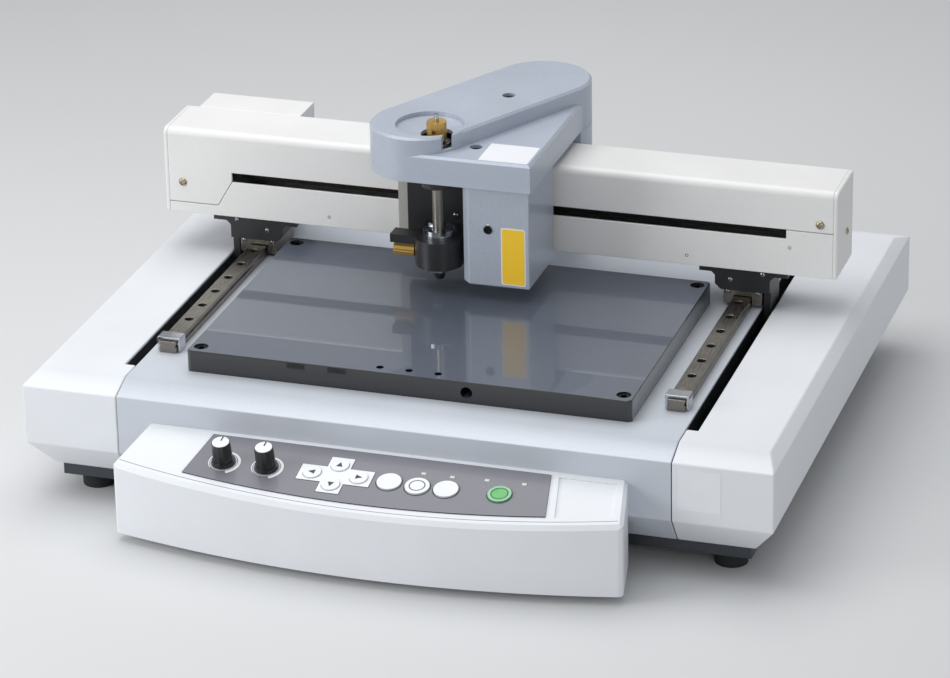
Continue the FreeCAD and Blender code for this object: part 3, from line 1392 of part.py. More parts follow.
def make_slide_block():
    back = axis_y + casting_back
    solid = block("slide_solid", (z_rail_x - 14, z_rail_x + 14), (back, plate_front - 2),
                  (slide_low, slide_low + slide_length))
    room = block("slide_room", (z_rail_x - z_rail_width / 2 - guide_gap, z_rail_x + z_rail_width / 2 + guide_gap),
                 (plate_front - z_rail_height - guide_gap, plate_front), (slide_low - 1, slide_low + slide_length + 1))
    keep("z_slide_block", cut("z_slide_block", solid, room))


def make_lift_screw():
    low = head_plate_low - z_motor_length
    keep("z_screw", post("z_screw", screw_x, screw_y, (low - screw_length, low + 9), screw_radius))


def make_spindle():
    x, y = axis_x, axis_y
    wheel = locate(pulley("spindle_wheel", spindle_pulley_radius, drive_belt_width, sleeve_radius - 1, False), x, y,
                   drive_belt_low + drive_belt_width / 2)
    tube = turned("spindle_tube", [(cutter_radius + running_gap, block_low), (sleeve_radius, block_low),
                                   (sleeve_radius, holder_bottom - 0.1),
                                   (cutter_radius + running_gap, holder_bottom - 0.1)], x, y)
    keep("spindle_sleeve", join("spindle_sleeve", wheel, tube))
    body = locate(prism("holder_body", "XY_Plane", fluted(holder_radius, holder_flute, HOLDER_FLUTES),
                        (holder_bottom, holder_top)), x, y, 0)
    bore = post("holder_bore", x, y, (holder_bottom - 1, holder_top + 1), cutter_radius + running_gap)
    cross = bar("holder_cross_hole", "y", (y - holder_radius - 1, y - cutter_radius - 1), x,
                (holder_bottom + holder_top) / 2, holder_cross_radius)
    keep("cutter_holder", cut("cutter_holder", body, bore, cross))
    keep("cutter", turned("cutter", [(0, cutter_tip), (cutter_point, cutter_tip), (cutter_radius, cutter_tip + cutter_taper),
                                     (cutter_radius, cutter_top), (0, cutter_top)], x, y))


def make_nose():
    """Castellated lock ring above the lower bearing, hex nut and tapered nose below it."""
    x, y = axis_x, axis_y
    bore = sleeve_radius + guide_gap
    ring = turned("lock_ring", [(bore, block_high), (ring_radius, block_high), (ring_radius, block_high + ring_height),
                                (bore, block_high + ring_height)])
    slot = pocket(ring, "ring_slot", "XY_Plane", block_high + ring_height,
                  lambda face: outline(face, rectangle((-ring_notch / 2, ring_notch / 2),
                                                       (bore - 1, ring_radius + 1))), ring_height / 2)
    repeat_round(ring, "ring_slots", [slot], RING_SLOTS)
    locate(ring, x, y, 0)
    nut = prism("nose_hexagon", "XY_Plane", polygon(nut_radius, 6), (block_low - nose_nut_height, block_low))
    nose_bore = cutter_radius + nose_gap
    nut_bore = post("nose_nut_bore", 0, 0, (block_low - nose_nut_height - 1, block_low + 1), nose_bore)
    nose_nut = locate(cut("nose_nut", nut, nut_bore), x, y, 0)
    keep("ring_nuts", group("ring_nuts", [ring, nose_nut]))
    top = block_low - nose_nut_height
    nose = tapered("nose_cone", polygon(nose_tip_radius, NOSE_SIDES), polygon(nose_radius, NOSE_SIDES),
                   (nose_tip, top))
    hole = post("nose_bore", 0, 0, (nose_tip - 1, top + 1), nose_bore)
    keep("depth_nose", locate(cut("depth_nose", nose, hole), x, y))


def make_thumbscrew():
    head = axis_x - lower_radius - 0.3
    body = prism("thumb_head", "XY_Plane", fluted(thumb_radius, thumb_flute, THUMB_FLUTES), (0, thumb_length))
    locate(body, head, axis_y, thumb_height, FreeCAD.Rotation(V(0, 1, 0), -90))
    shank = bar("thumb_shank", "x", (head - 1, head + thumb_screw_in), axis_y, thumb_height, thumb_shank_radius)
    keep("clamp_thumbscrew", join("clamp_thumbscrew", body, shank))


def make_spindle_drive():
    x, y = axis_x + motor_x, axis_y + motor_y
    top = head_plate_low
    bottom = top - spindle_motor_length
    can = turned("motor_can", [(motor_shaft_radius + running_gap, bottom + 6), (0, bottom + 6), (0, bottom),
                               (spindle_motor_radius, bottom), (spindle_motor_radius, top),
                               (motor_shaft_radius + running_gap, top)], x, y)
    keep("spindle_motor", can)
    middle = drive_belt_low + drive_belt_width / 2
    axle = (bottom + 7 - middle, drive_belt_width / 2)
    wheel = driven("motor_shaft", pulley("motor_wheel", motor_pulley_radius, drive_belt_width), axle,
                   motor_shaft_radius)
    keep("motor_pulley", locate(wheel, x, y, middle))
    keep("spindle_belt", open_belt((axis_x, axis_y, spindle_pulley_radius), (x, y, motor_pulley_radius)))


def open_belt(first, second):
    """A belt round two pulleys of unlike size: the outline is two arcs and their outer tangents."""
    def ring(name, extra):
        (ax, ay, ar), (bx, by, br) = first, second
        ar, br = ar + extra, br + extra
        dx, dy = bx - ax, by - ay
        span = dx * dx + dy * dy
        drop = ar - br
        rise = root(span - drop * drop)
        length = root(span)

        def touch(cx, cy, radius, side):
            along, off = drop / span, rise / span * side
            return cx + radius * (dx * along - dy * off), cy + radius * (dy * along + dx * off)
        right_a, right_b = touch(ax, ay, ar, -1), touch(bx, by, br, -1)
        left_a, left_b = touch(ax, ay, ar, 1), touch(bx, by, br, 1)
        far = (bx + dx / length * br, by + dy / length * br)
        near = (ax - dx / length * ar, ay - dy / length * ar)
        points = [(*right_a, near), right_b, (*left_b, far), left_a]
        return prism(name, "XY_Plane", points, (drive_belt_low, drive_belt_low + drive_belt_width))
    return cut("spindle_belt", ring("drive_belt_out", belt_gap + belt_thick), ring("drive_belt_in", belt_gap))


def hand_in():
    """Recompute, refuse any failed or empty object, then write one file for each node."""
    doc.recompute()
    for item in doc.Objects:
        if "Invalid" in item.State or "Error" in item.State:
            raise RuntimeError(f"{item.Name}: {item.State} {item.getStatusString()}")
    for name, item in nodes.items():
        shape = item.Shape
        if shape.isNull() or not shape.isValid() or not shape.Solids:
            raise RuntimeError(f"{name}: empty or not valid")
    for name, item in nodes.items():
        item.Shape.exportStep(f"parts/{name}.step")
    print(len(nodes), "nodes,", sum(len(item.Shape.Solids) for item in nodes.values()), "solids")


for make in (make_work_table, make_table_screws, make_side_covers, make_deck_panel, make_chassis, make_feet,
             make_rear_sockets, make_electronics, make_linear_rails, make_rail_stops, make_belts, make_pulleys,
             make_stepping_motors, make_panel_housing, make_panel_overlay, make_keys, make_knobs,
             make_panel_board, make_rail_blocks, make_brackets, make_beam, make_beam_frame, make_x_rail,
             make_x_motor_cover, make_carriage, make_belt_cover, make_motor_shroud, make_head_box,
             make_head_casting, make_slide_block, make_lift_screw, make_spindle, make_nose, make_thumbscrew,
             make_spindle_drive):
    make()
hand_in()
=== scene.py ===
"""Looks of a desktop flatbed engraving machine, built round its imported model.

Lengths are millimetres in the model's own frame, and MM turns them into Blender's metres. FAR is outside the
model, where rays that find a surface start. Prints and plates sink a little into what they lie on.
"""

import json
import math

import bmesh
import bpy
import numpy as np
from bpy.props import FloatProperty, FloatVectorProperty, PointerProperty
from bpy.types import Operator, Panel, PropertyGroup
from mathutils import Matrix, Vector
from mathutils.bvhtree import BVHTree


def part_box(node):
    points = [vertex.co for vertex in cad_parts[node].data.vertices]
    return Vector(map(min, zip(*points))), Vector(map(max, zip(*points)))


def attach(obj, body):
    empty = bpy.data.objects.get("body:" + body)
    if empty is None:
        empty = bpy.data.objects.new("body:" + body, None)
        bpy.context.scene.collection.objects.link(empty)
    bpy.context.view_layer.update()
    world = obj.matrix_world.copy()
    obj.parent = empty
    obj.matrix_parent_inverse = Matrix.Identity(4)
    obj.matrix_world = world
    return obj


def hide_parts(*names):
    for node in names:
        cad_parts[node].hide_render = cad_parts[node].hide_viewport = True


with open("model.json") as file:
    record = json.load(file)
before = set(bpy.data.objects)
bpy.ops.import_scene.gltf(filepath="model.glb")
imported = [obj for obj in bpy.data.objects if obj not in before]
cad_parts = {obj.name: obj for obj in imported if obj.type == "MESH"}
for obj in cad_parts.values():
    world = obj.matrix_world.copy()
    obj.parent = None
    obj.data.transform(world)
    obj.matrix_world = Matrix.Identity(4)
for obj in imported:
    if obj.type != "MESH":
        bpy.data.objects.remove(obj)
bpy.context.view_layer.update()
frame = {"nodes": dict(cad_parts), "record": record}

bl_info = {
    "name": "Flatbed engraver looks",
    "version": (1, 0, 0),
    "blender": (4, 5, 0),
    "location": "View3D > Sidebar > Engraver",
    "description": "Finishes, edges and small parts of a desktop flatbed engraving machine",
    "category": "Object",
}

MM = 0.001
FAR = 400
INK_SINK, PLATE_SINK = 0.02, 0.02
MARK_SINK, MARK_RISE = 0.03, 0.06
SLOT_OF = {part["node"]: part["material_slot"] for part in frame["record"]["subparts"]}
BODY_OF = {node: body for body, nodes in frame["record"]["behaviour"]["bodies"].items() for node in nodes}


# Settings that a user would change

class StageSettings(PropertyGroup):
    """Camera, floor and light."""
    azimuth: FloatProperty(name="Azimuth", description="Camera direction, 0 looks along +Y",
                           default=math.radians(17.787), subtype="ANGLE")
    elevation: FloatProperty(name="Elevation", description="Camera height above the horizon",
                             default=math.radians(23.785), subtype="ANGLE")
    roll: FloatProperty(name="Roll", description="Camera turned about its own axis",
                        default=math.radians(-0.988), subtype="ANGLE")
    eye: FloatVectorProperty(name="Eye", description="Place of the camera", size=3, subtype="XYZ",
                             unit="LENGTH", default=(0.7887, -2.4165, 1.193))
    lens: FloatProperty(name="Lens", description="Focal length on a sensor 36 mm wide", default=154.48)
    shift: FloatVectorProperty(name="Shift", description="Sideways and upward shift of the picture",
                               size=2, default=(-0.01317, -0.00046))
    floor: FloatVectorProperty(name="Floor", description="Colour of the floor", size=3, subtype="COLOR",
                               default=(0.66, 0.665, 0.67))
    overhead: FloatProperty(name="Overhead lamp", description="Power of the large lamp above", default=14.4,
                            unit="POWER")
    side: FloatProperty(name="Side lamp", description="Power of the lamp at the left front", default=8.2,
                        unit="POWER")
    fill: FloatProperty(name="Fill lamp", description="Power of the weak lamp at the right front",
                        default=2.9, unit="POWER")
    sky: FloatProperty(name="Sky", description="Strength of the even light from all round", default=0.4)


class EdgeSettings(PropertyGroup):
    """How far the edges of each kind of piece are rounded."""
    shell: FloatProperty(name="Moulded shell", description="Edge radius of the side covers and panel",
                         default=1.0 * MM, unit="LENGTH")
    sheet: FloatProperty(name="Folded sheet", description="Edge radius of the deck and beam covers",
                         default=0.6 * MM, unit="LENGTH")
    casting: FloatProperty(name="Casting", description="Edge radius of the head's castings",
                           default=0.8 * MM, unit="LENGTH")
    machined: FloatProperty(name="Machined part", description="Broken edge of rails, blocks and the table",
                            default=0.35 * MM, unit="LENGTH")
    fine: FloatProperty(name="Small part", description="Broken edge of knobs, keys and nuts",
                        default=0.18 * MM, unit="LENGTH")


class PanelSettings(PropertyGroup):
    """The control panel's slope and its print."""
    rear: FloatVectorProperty(name="Rear edge", description="Middle of the panel's rear top edge", size=3,
                              subtype="XYZ", unit="LENGTH", default=(-3 * MM, -171.5 * MM, 66 * MM))
    slope: FloatProperty(name="Slope", description="Angle of the panel's top", default=math.atan2(15, 65),
                         subtype="ANGLE")
    film: FloatProperty(name="Film", description="Thickness of the printed film", default=0.8 * MM,
                        unit="LENGTH")
    print_depth: FloatProperty(name="Print", description="Thickness of the printed ink", default=0.06 * MM,
                               unit="LENGTH")


class FinishSettings(PropertyGroup):
    """Base colour of every finish, as the record names them."""


FinishSettings.__annotations__ = {
    row["slot"]: FloatVectorProperty(name=row["slot"], description=row["finish"], size=3, subtype="COLOR",
                                     default=row["base_color"])
    for row in frame["record"]["materials"]
}


# Finishes

# Linear colours where the photograph's light shows another shade than the record's
HEAD_SILVER = (0.44, 0.482, 0.56)
BEAM_GREY = (0.79, 0.785, 0.77)
CARRIAGE_GREY = (0.5, 0.49, 0.455)
LABEL_YELLOW = (0.97, 0.6, 0.03)
LIT_GREEN = (0.05, 0.42, 0.06)
# Near black of the table's sides, which is painted shade
TABLE_SIDE_SHADE = (0.009, 0.0095, 0.011)
FILM_EDGE = (0.012, 0.012, 0.03)

# How much lighter the table's top is than its slot's colour, which is painted light, and where the head's
# silver plate starts
TABLE_TOP_LIGHT = 2.1
HEAD_PLATE_LOW = 186.5 * MM

# Stretch of a pattern whose lines run along an axis, or round the upright one
ALONG_X, ALONG_Y, ROUND_Z = (0.02, 1, 1), (1, 0.02, 1), (0.02, 0.02, 1)


class Finish:
    """A principled material whose patterns read the piece's own object coordinates, in metres."""

    def __init__(self, slot, colour=None, **sockets):
        self.colour = Vector(colour or getattr(bpy.context.scene.engraver_finish, slot))
        self.material = bpy.data.materials.new(slot + "_finish")
        self.material.use_nodes = True
        tree = self.material.node_tree
        self.nodes, self.links = tree.nodes, tree.links
        self.shader = self.nodes["Principled BSDF"]
        self.place = self.add("ShaderNodeTexCoord").outputs["Object"]
        self.feed(self.shader, "Base Color", (*self.colour, 1))
        for socket, value in sockets.items():
            self.feed(self.shader, socket.replace("_", " "), value)

    def add(self, kind, **settings):
        node = self.nodes.new(kind)
        for name, value in settings.items():
            setattr(node, name, value)
        return node

    def feed(self, node, socket, value):
        """Links an output to a node's input, or sets the input to a number."""
        if isinstance(value, bpy.types.NodeSocket):
            self.links.new(value, node.inputs[socket])
        else:
            node.inputs[socket].default_value = value

    def noise(self, size, detail=2.0, stretch=(1, 1, 1)):
        """Cloudy pattern with blobs about size metres wide, longer along an axis whose stretch is small."""
        mapping = self.add("ShaderNodeMapping")
        self.feed(mapping, "Vector", self.place)
        self.feed(mapping, "Scale", [part / size for part in stretch])
        texture = self.add("ShaderNodeTexNoise")
        self.feed(texture, "Vector", mapping.outputs["Vector"])
        self.feed(texture, "Scale", 1.0)
        self.feed(texture, "Detail", detail)
        return texture.outputs["Fac"]

    def spread(self, value, low, high):
        """The pattern's middle range, stretched over low to high."""
        node = self.add("ShaderNodeMapRange")
        self.feed(node, "Value", value)
        self.feed(node, "From Min", 0.32)
        self.feed(node, "From Max", 0.68)
        self.feed(node, "To Min", low)
        self.feed(node, "To Max", high)
        return node.outputs["Result"]

    def blend(self, factor, first, second):
        """Colour that goes from first to second with the factor."""
        node = self.add("ShaderNodeMix", data_type="RGBA")
        factor_in, first_in, second_in, colour_out = 0, 6, 7, 2
        self.feed(node, factor_in, factor)
        self.feed(node, first_in, first)
        self.feed(node, second_in, second)
        return node.outputs[colour_out]

    def shade(self, amount):
        """The base colour, lighter or darker by a share."""
        return (*[min(1.0, part * (1 + amount)) for part in self.colour], 1)

    def mottle(self, cloud, speck, cloud_share, speck_share):
        """Colour that drifts slowly with one pattern and speckles with another."""
        dark = self.blend(self.spread(cloud, 0, 1), self.shade(-cloud_share - speck_share),
                          self.shade(cloud_share - speck_share))
        light = self.blend(self.spread(cloud, 0, 1), self.shade(speck_share - cloud_share),
                           self.shade(cloud_share + speck_share))
        self.feed(self.shader, "Base Color", self.blend(self.spread(speck, 0, 1), dark, light))

    def relief(self, height, depth):
        """Bumps depth metres high."""
        node = self.add("ShaderNodeBump")
        self.feed(node, "Height", height)
        self.feed(node, "Distance", depth)
        self.feed(self.shader, "Normal", node.outputs["Normal"])

    def edge_colour(self, normal, colour):
        """The pattern so far on faces that look along the normal, and one colour on the others."""
        face = self.shader.inputs["Base Color"].links[0].from_socket
        geometry = self.add("ShaderNodeNewGeometry")
        turn = self.add("ShaderNodeVectorMath", operation="DOT_PRODUCT")
        self.feed(turn, 0, geometry.outputs["True Normal"])
        self.feed(turn, 1, normal)
        flat = self.add("ShaderNodeMath", operation="GREATER_THAN")
        self.feed(flat, 0, turn.outputs["Value"])
        self.feed(flat, 1, 0.9)
        self.feed(self.shader, "Base Color", self.blend(flat.outputs["Value"], (*colour, 1), face))

    def above(self, height, colour):
        """The pattern so far below a height in the piece's own frame, and one colour above it."""
        below = self.shader.inputs["Base Color"].links[0].from_socket
        axes = self.add("ShaderNodeSeparateXYZ")
        self.feed(axes, "Vector", self.place)
        over = self.add("ShaderNodeMath", operation="GREATER_THAN")
        self.feed(over, 0, axes.outputs["Z"])
        self.feed(over, 1, height)
        self.feed(self.shader, "Base Color", self.blend(over.outputs["Value"], below, (*colour, 1)))

    def roughen(self, pattern, middle, swing):
        self.feed(self.shader, "Roughness", self.spread(pattern, middle - swing, middle + swing))


def painted(slot, roughness, grain=0.7 * MM, depth=0.012 * MM, cloud_share=0.02, speck_share=0.03,
            colour=None, **sockets):
    """Sprayed paint or moulded plastic: a fine orange peel, slow drift and fine specks."""
    finish = Finish(slot, colour, **sockets)
    cloud = finish.noise(60 * MM, 3)
    speck = finish.noise(grain, 3)
    finish.mottle(cloud, speck, cloud_share, speck_share)
    finish.roughen(cloud, roughness, 0.04)
    finish.relief(speck, depth)
    return finish.material


def brushed(slot, roughness, axis, width=0.25 * MM, speck_share=0.16, depth=0.01 * MM, **sockets):
    """Ground or turned metal: fine lines along an axis, or rings when the lines run along the other two."""
    finish = Finish(slot, **{"Metallic": 1.0, **sockets})
    cloud = finish.noise(12 * MM, 2)
    lines = finish.noise(width, 3, axis)
    finish.mottle(cloud, lines, 0.06, speck_share)
    finish.roughen(lines, roughness, 0.1)
    finish.relief(lines, depth)
    return finish.material


def polished(slot, roughness, **sockets):
    """Plated or polished metal with faint cloudy smears."""
    finish = Finish(slot, Metallic=1.0, **sockets)
    cloud = finish.noise(5 * MM, 4)
    finish.mottle(cloud, finish.noise(0.5 * MM), 0.05, 0.03)
    finish.roughen(cloud, roughness, 0.06)
    return finish.material


def printed_film(slot, roughness):
    """Satin film, whose cut edge is a dark line."""
    finish = Finish(slot, Coat_Weight=0.15)
    cloud, speck = finish.noise(30 * MM, 2), finish.noise(0.5 * MM, 2)
    finish.mottle(cloud, speck, 0.02, 0.05)
    slope = bpy.context.scene.engraver_panel.slope
    finish.edge_colour((0, -math.sin(slope), math.cos(slope)), FILM_EDGE)
    finish.roughen(cloud, roughness, 0.03)
    finish.relief(speck, 0.008 * MM)
    return finish.material


def shaded_table(slot, edge, top_light):
    """Polished coating on a flat ground top, made lighter as painted light, whose sides are painted near
    black as painted shade.
    """
    finish = Finish(slot, Coat_Weight=1.0, Coat_Roughness=0.015, Specular_IOR_Level=0.5)
    # Painted light: the whole colour is lifted, and the sides then take the painted shade below
    finish.colour = Vector([part * top_light for part in finish.colour])
    cloud, speck = finish.noise(70 * MM, 2), finish.noise(0.45 * MM, 3)
    finish.mottle(cloud, speck, 0.03, 0.16)
    # Painted shade: faces that do not look up take the near-black side colour
    finish.edge_colour((0, 0, 1), edge)
    finish.roughen(speck, 0.32, 0.05)
    return finish.material


def head_cast(slot, plate_low):
    """Satin black casting, whose plate under the belt cover is sprayed like the cover."""
    finish = Finish(slot)
    cloud, speck = finish.noise(60 * MM, 3), finish.noise(0.5 * MM, 3)
    finish.mottle(cloud, speck, 0.02, 0.1)
    finish.above(plate_low, HEAD_SILVER)
    finish.roughen(cloud, 0.38, 0.04)
    finish.relief(speck, 0.03 * MM)
    return finish.material


def make_finishes():
    """One material for each slot of the record."""
    return {
        "white_shell": painted("white_shell", 0.42, grain=0.5 * MM, speck_share=0.02),
        "silver_sheet": painted("silver_sheet", 0.44, speck_share=0.05, Metallic=0.15),
        "beam_paint": painted("beam_paint", 0.4, speck_share=0.03, colour=BEAM_GREY),
        "head_paint": painted("head_paint", 0.36, grain=0.8 * MM, cloud_share=0.03, speck_share=0.07,
                              colour=HEAD_SILVER, Metallic=0.15, Coat_Weight=0.25),
        "slate_table": shaded_table("slate_table", TABLE_SIDE_SHADE, TABLE_TOP_LIGHT),
        "dark_screw": polished("dark_screw", 0.4),
        "zinc_plate": painted("zinc_plate", 0.45, Metallic=0.6),
        "foot_rubber": painted("foot_rubber", 0.7, grain=0.3 * MM, depth=0.03 * MM),
        "guide_steel": brushed("guide_steel", 0.3, ALONG_Y),
        "bright_chrome": polished("bright_chrome", 0.14),
        "grey_film": printed_film("grey_film", 0.42),
        "circuit_board": painted("circuit_board", 0.4, grain=2 * MM, speck_share=0.15),
        "lamp_plastic": painted("lamp_plastic", 0.3, grain=0.3 * MM, Subsurface_Weight=0.2),
        "black_plastic": painted("black_plastic", 0.5, grain=0.3 * MM, depth=0.02 * MM),
        "belt_rubber": painted("belt_rubber", 0.65, grain=0.2 * MM, depth=0.03 * MM),
        "motor_black": painted("motor_black", 0.4, grain=0.3 * MM, Metallic=0.3),
        "turned_aluminium": brushed("turned_aluminium", 0.34, ALONG_X),
        "black_casting": head_cast("black_casting", HEAD_PLATE_LOW),
        "beige_plate": painted("beige_plate", 0.42, colour=CARRIAGE_GREY, Metallic=0.15),
        "beige_screw": polished("beige_plate", 0.35),
        "yellow_plate": painted("lamp_plastic", 0.4, grain=0.4 * MM, colour=LABEL_YELLOW),
        "cutter_steel": brushed("cutter_steel", 0.16, ROUND_Z),
        "brass": brushed("brass", 0.38, ROUND_Z, speck_share=0.08, Metallic=0.75),
        "bright_steel": brushed("bright_steel", 0.2, ROUND_Z, speck_share=0.1),
        "knob_black": painted("knob_black", 0.32, grain=0.25 * MM, depth=0.01 * MM),
        "green_plastic": painted("green_plastic", 0.28, grain=0.4 * MM, speck_share=0.03, Coat_Weight=0.3),
        "green_lamp": painted("green_plastic", 0.28, grain=0.4 * MM, colour=LIT_GREEN, Coat_Weight=0.3),
        "key_white": painted("key_white", 0.38, grain=0.4 * MM, speck_share=0.015),
    }


# Placing pieces

def give(piece, body, material):
    """Puts a piece on a body and its material."""
    piece.data.materials.clear()
    piece.data.materials.append(material)
    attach(piece, body)
    return piece


def softened(node, width, segments=3, crease=28):
    """The node's own surface with its seams closed and every edge sharper than crease degrees rounded."""
    mesh = bpy.data.meshes.new(node + "_shaped")
    work = bmesh.new()
    work.from_mesh(frame["nodes"][node].data)
    bmesh.ops.remove_doubles(work, verts=work.verts, dist=0.002 * MM)
    bmesh.ops.dissolve_limit(work, angle_limit=math.radians(0.4), verts=work.verts, edges=work.edges)
    for face in work.faces:
        face.smooth = True
    work.to_mesh(mesh)
    work.free()
    piece = bpy.data.objects.new(node + "_shaped", mesh)
    bpy.context.scene.collection.objects.link(piece)
    rounding = piece.modifiers.new("edges", "BEVEL")
    rounding.width = width
    rounding.segments = segments
    rounding.limit_method = "ANGLE"
    rounding.angle_limit = math.radians(crease)
    shading = piece.modifiers.new("flat faces", "WEIGHTED_NORMAL")
    shading.mode = "FACE_AREA"
    shading.weight = 100
    slot = SLOT_OF[node]
    give(piece, BODY_OF[node], MATERIALS[slot])
    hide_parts(node)
    return piece


def add_piece(name, vertices, faces, body, slot, material, smooth=False):
    """A mesh from a list of points in millimetres and lists of corner numbers."""
    mesh = bpy.data.meshes.new(name)
    mesh.from_pydata((np.asarray(vertices) * MM).tolist(), [], [list(face) for face in faces])
    mesh.shade_smooth() if smooth else mesh.shade_flat()
    mesh.update()
    piece = bpy.data.objects.new(name, mesh)
    bpy.context.scene.collection.objects.link(piece)
    return give(piece, body, material)


def joined(parts):
    """Several (points, faces) lists as one."""
    points, faces, base = [], [], 0
    for part_points, part_faces in parts:
        points.append(part_points)
        faces += [[corner + base for corner in face] for face in part_faces]
        base += len(part_points)
    return np.vstack(points), faces


def grid_faces(rows, columns, close_rows=False):
    """Four-cornered faces of a grid stored row by row, closed round its columns."""
    row, column = np.meshgrid(np.arange(rows if close_rows else rows - 1), np.arange(columns), indexing="ij")
    above, after = (row + 1) % rows, (column + 1) % columns
    corners = [row * columns + column, row * columns + after, above * columns + after,
               above * columns + column]
    return np.stack(corners, -1).reshape(-1, 4).tolist()


def lathe(rows, around=48, middle=(0, 0)):
    """Closed turned piece: each row is a radius and a height, numbers or one for each angle, from the middle
    of the underside, up the outside and over the top. Points are radius * (cos, sin) of the angle."""
    angle = np.arange(around) * 2 * math.pi / around
    radius = np.stack([np.broadcast_to(np.asarray(part, float), around) for part, _ in rows])
    height = np.stack([np.broadcast_to(np.asarray(part, float), around) for _, part in rows])
    grid = np.stack([middle[0] + radius * np.cos(angle), middle[1] + radius * np.sin(angle), height], -1)
    poles = [(*middle, height[0].mean()), (*middle, height[-1].mean())]
    points = np.vstack([grid.reshape(-1, 3), poles])
    bottom, top, last = len(points) - 2, len(points) - 1, (len(rows) - 1) * around
    turn = np.arange(around)
    after = (turn + 1) % around
    fans = np.vstack([np.column_stack([after, turn, np.full(around, bottom)]),
                      np.column_stack([last + turn, last + after, np.full(around, top)])])
    return points, grid_faces(len(rows), around) + fans.tolist()


def axes_along(axis):
    """Three unit rows, the last along the axis, that place a piece made upright."""
    third = np.array(axis, float) / np.linalg.norm(axis)
    helper = np.array((0, 0, 1.0)) if abs(third[2]) < 0.9 else np.array((1.0, 0, 0))
    first = np.cross(helper, third)
    first /= np.linalg.norm(first)
    return np.array([first, np.cross(third, first), third])


def placed(part, centre, axes):
    points, faces = part
    return points @ axes + np.array(centre), faces


def screw_head(radius, height, slot_width=0.2, slot_depth=0.6, rings=22, around=48):
    """Pan head: height times the dome 1 - s**4, less a cross where the distance to either centre line is
    under slot_width of the radius and s is under 0.62. s is the share of the radius."""
    angle = np.arange(around) * 2 * math.pi / around
    rows = [(radius, -0.3 * height)]
    for share in np.linspace(1, 0.02, rings):
        nearer = share * np.minimum(np.abs(np.cos(angle)), np.abs(np.sin(angle)))
        cross = np.clip((slot_width - nearer) / 0.06, 0, 1) * np.clip((0.62 - share) / 0.06, 0, 1)
        rows.append((radius * share, height * (1 - share ** 4) - slot_depth * height * cross))
    return lathe(rows, around)


def socket_head(radius, height, key=0.55, depth=0.6, around=48):
    """Cap screw: a cylinder with a broken edge and a hexagon socket, whose rim is the key's share of the
    radius over cos of the angle to the nearest flat's middle."""
    angle = np.arange(around) * 2 * math.pi / around
    hexagon = radius * key / np.cos((angle + math.pi / 6) % (math.pi / 3) - math.pi / 6)
    edge = 0.12 * radius
    rows = [(radius, -0.3 * height), (radius, height - edge), (radius - edge, height), (hexagon, height),
            (hexagon * 0.96, height * (1 - depth)), (hexagon * 0.3, height * (0.9 - depth))]
    return lathe(rows, around)


def washer(inner, outer, height):
    """Flat ring with a broken edge: a four-cornered section carried round a circle."""
    around, edge = 48, 0.4 * height
    angle = np.arange(around) * 2 * math.pi / around
    section = [(inner, 0), (outer, 0), (outer, height - edge), (outer - edge, height), (inner, height)]
    rows = [np.column_stack([part * np.cos(angle), part * np.sin(angle), np.full(around, z)])
            for part, z in section]
    return np.vstack(rows), grid_faces(len(section), around, close_rows=True)


def seat(nodes, start, direction):
    """Point in millimetres where a ray from the start first meets one of the nodes' surfaces."""
    hits = []
    for node in nodes:
        work = bmesh.new()
        work.from_mesh(frame["nodes"][node].data)
        point, _, _, distance = BVHTree.FromBMesh(work).ray_cast(Vector(start) * MM, Vector(direction))
        work.free()
        if point is not None:
            hits.append((distance, tuple(point)))
    if not hits:
        raise RuntimeError(f"nothing of {', '.join(nodes)} lies that way")
    return np.array(min(hits)[1]) / MM


def on_nodes(part, nodes, start, direction):
    """Sets a piece made upright on the surface that a ray meets, with its top towards the ray's start."""
    return placed(part, seat(nodes, start, direction), axes_along(-np.array(direction, float)))


def panel_axes():
    """Rows for across, back up the slope, and square to the panel."""
    slope = bpy.context.scene.engraver_panel.slope
    cosine, sine = math.cos(slope), math.sin(slope)
    return np.array([(1, 0, 0), (0, cosine, sine), (0, -sine, cosine)])


def on_panel(part):
    """Places a part made flat: x across, y up the slope from the rear edge and z square to the panel."""
    return placed(part, np.array(bpy.context.scene.engraver_panel.rear) / MM, panel_axes())


def panel_place(node):
    """Middle of a node's top on the panel, as across, up the slope and height over the panel."""
    data = frame["nodes"][node].data
    flat = np.zeros(len(data.vertices) * 3)
    data.vertices.foreach_get("co", flat)
    rear = np.array(bpy.context.scene.engraver_panel.rear) / MM
    local = (flat.reshape(-1, 3) / MM - rear) @ panel_axes().T
    middle = (local.min(0) + local.max(0)) / 2
    return middle[0], middle[1], local[:, 2].max()


def tile(outline, low, high):
    """Flat plate between two heights with an outline of points, corners in order, anticlockwise."""
    outline = np.asarray(outline, float)
    count = len(outline)
    points = np.vstack([np.column_stack([outline, np.full(count, low)]),
                        np.column_stack([outline, np.full(count, high)])])
    after = [(k + 1) % count for k in range(count)]
    sides = [[k, after[k], after[k] + count, k + count] for k in range(count)]
    return points, sides + [list(range(count, 2 * count)), list(range(count))[::-1]]


def rounded_outline(low, high, radius, steps=6):
    """Rectangle from one corner to the other, each corner a quarter circle."""
    (x0, y0), (x1, y1) = low, high
    quarter = np.linspace(0, math.pi / 2, steps)
    corners = [(x1 - radius, y1 - radius), (x0 + radius, y1 - radius), (x0 + radius, y0 + radius),
               (x1 - radius, y0 + radius)]
    return np.vstack([np.column_stack([x + radius * np.cos(quarter + turn * math.pi / 2),
                                       y + radius * np.sin(quarter + turn * math.pi / 2)])
                      for turn, (x, y) in enumerate(corners)])


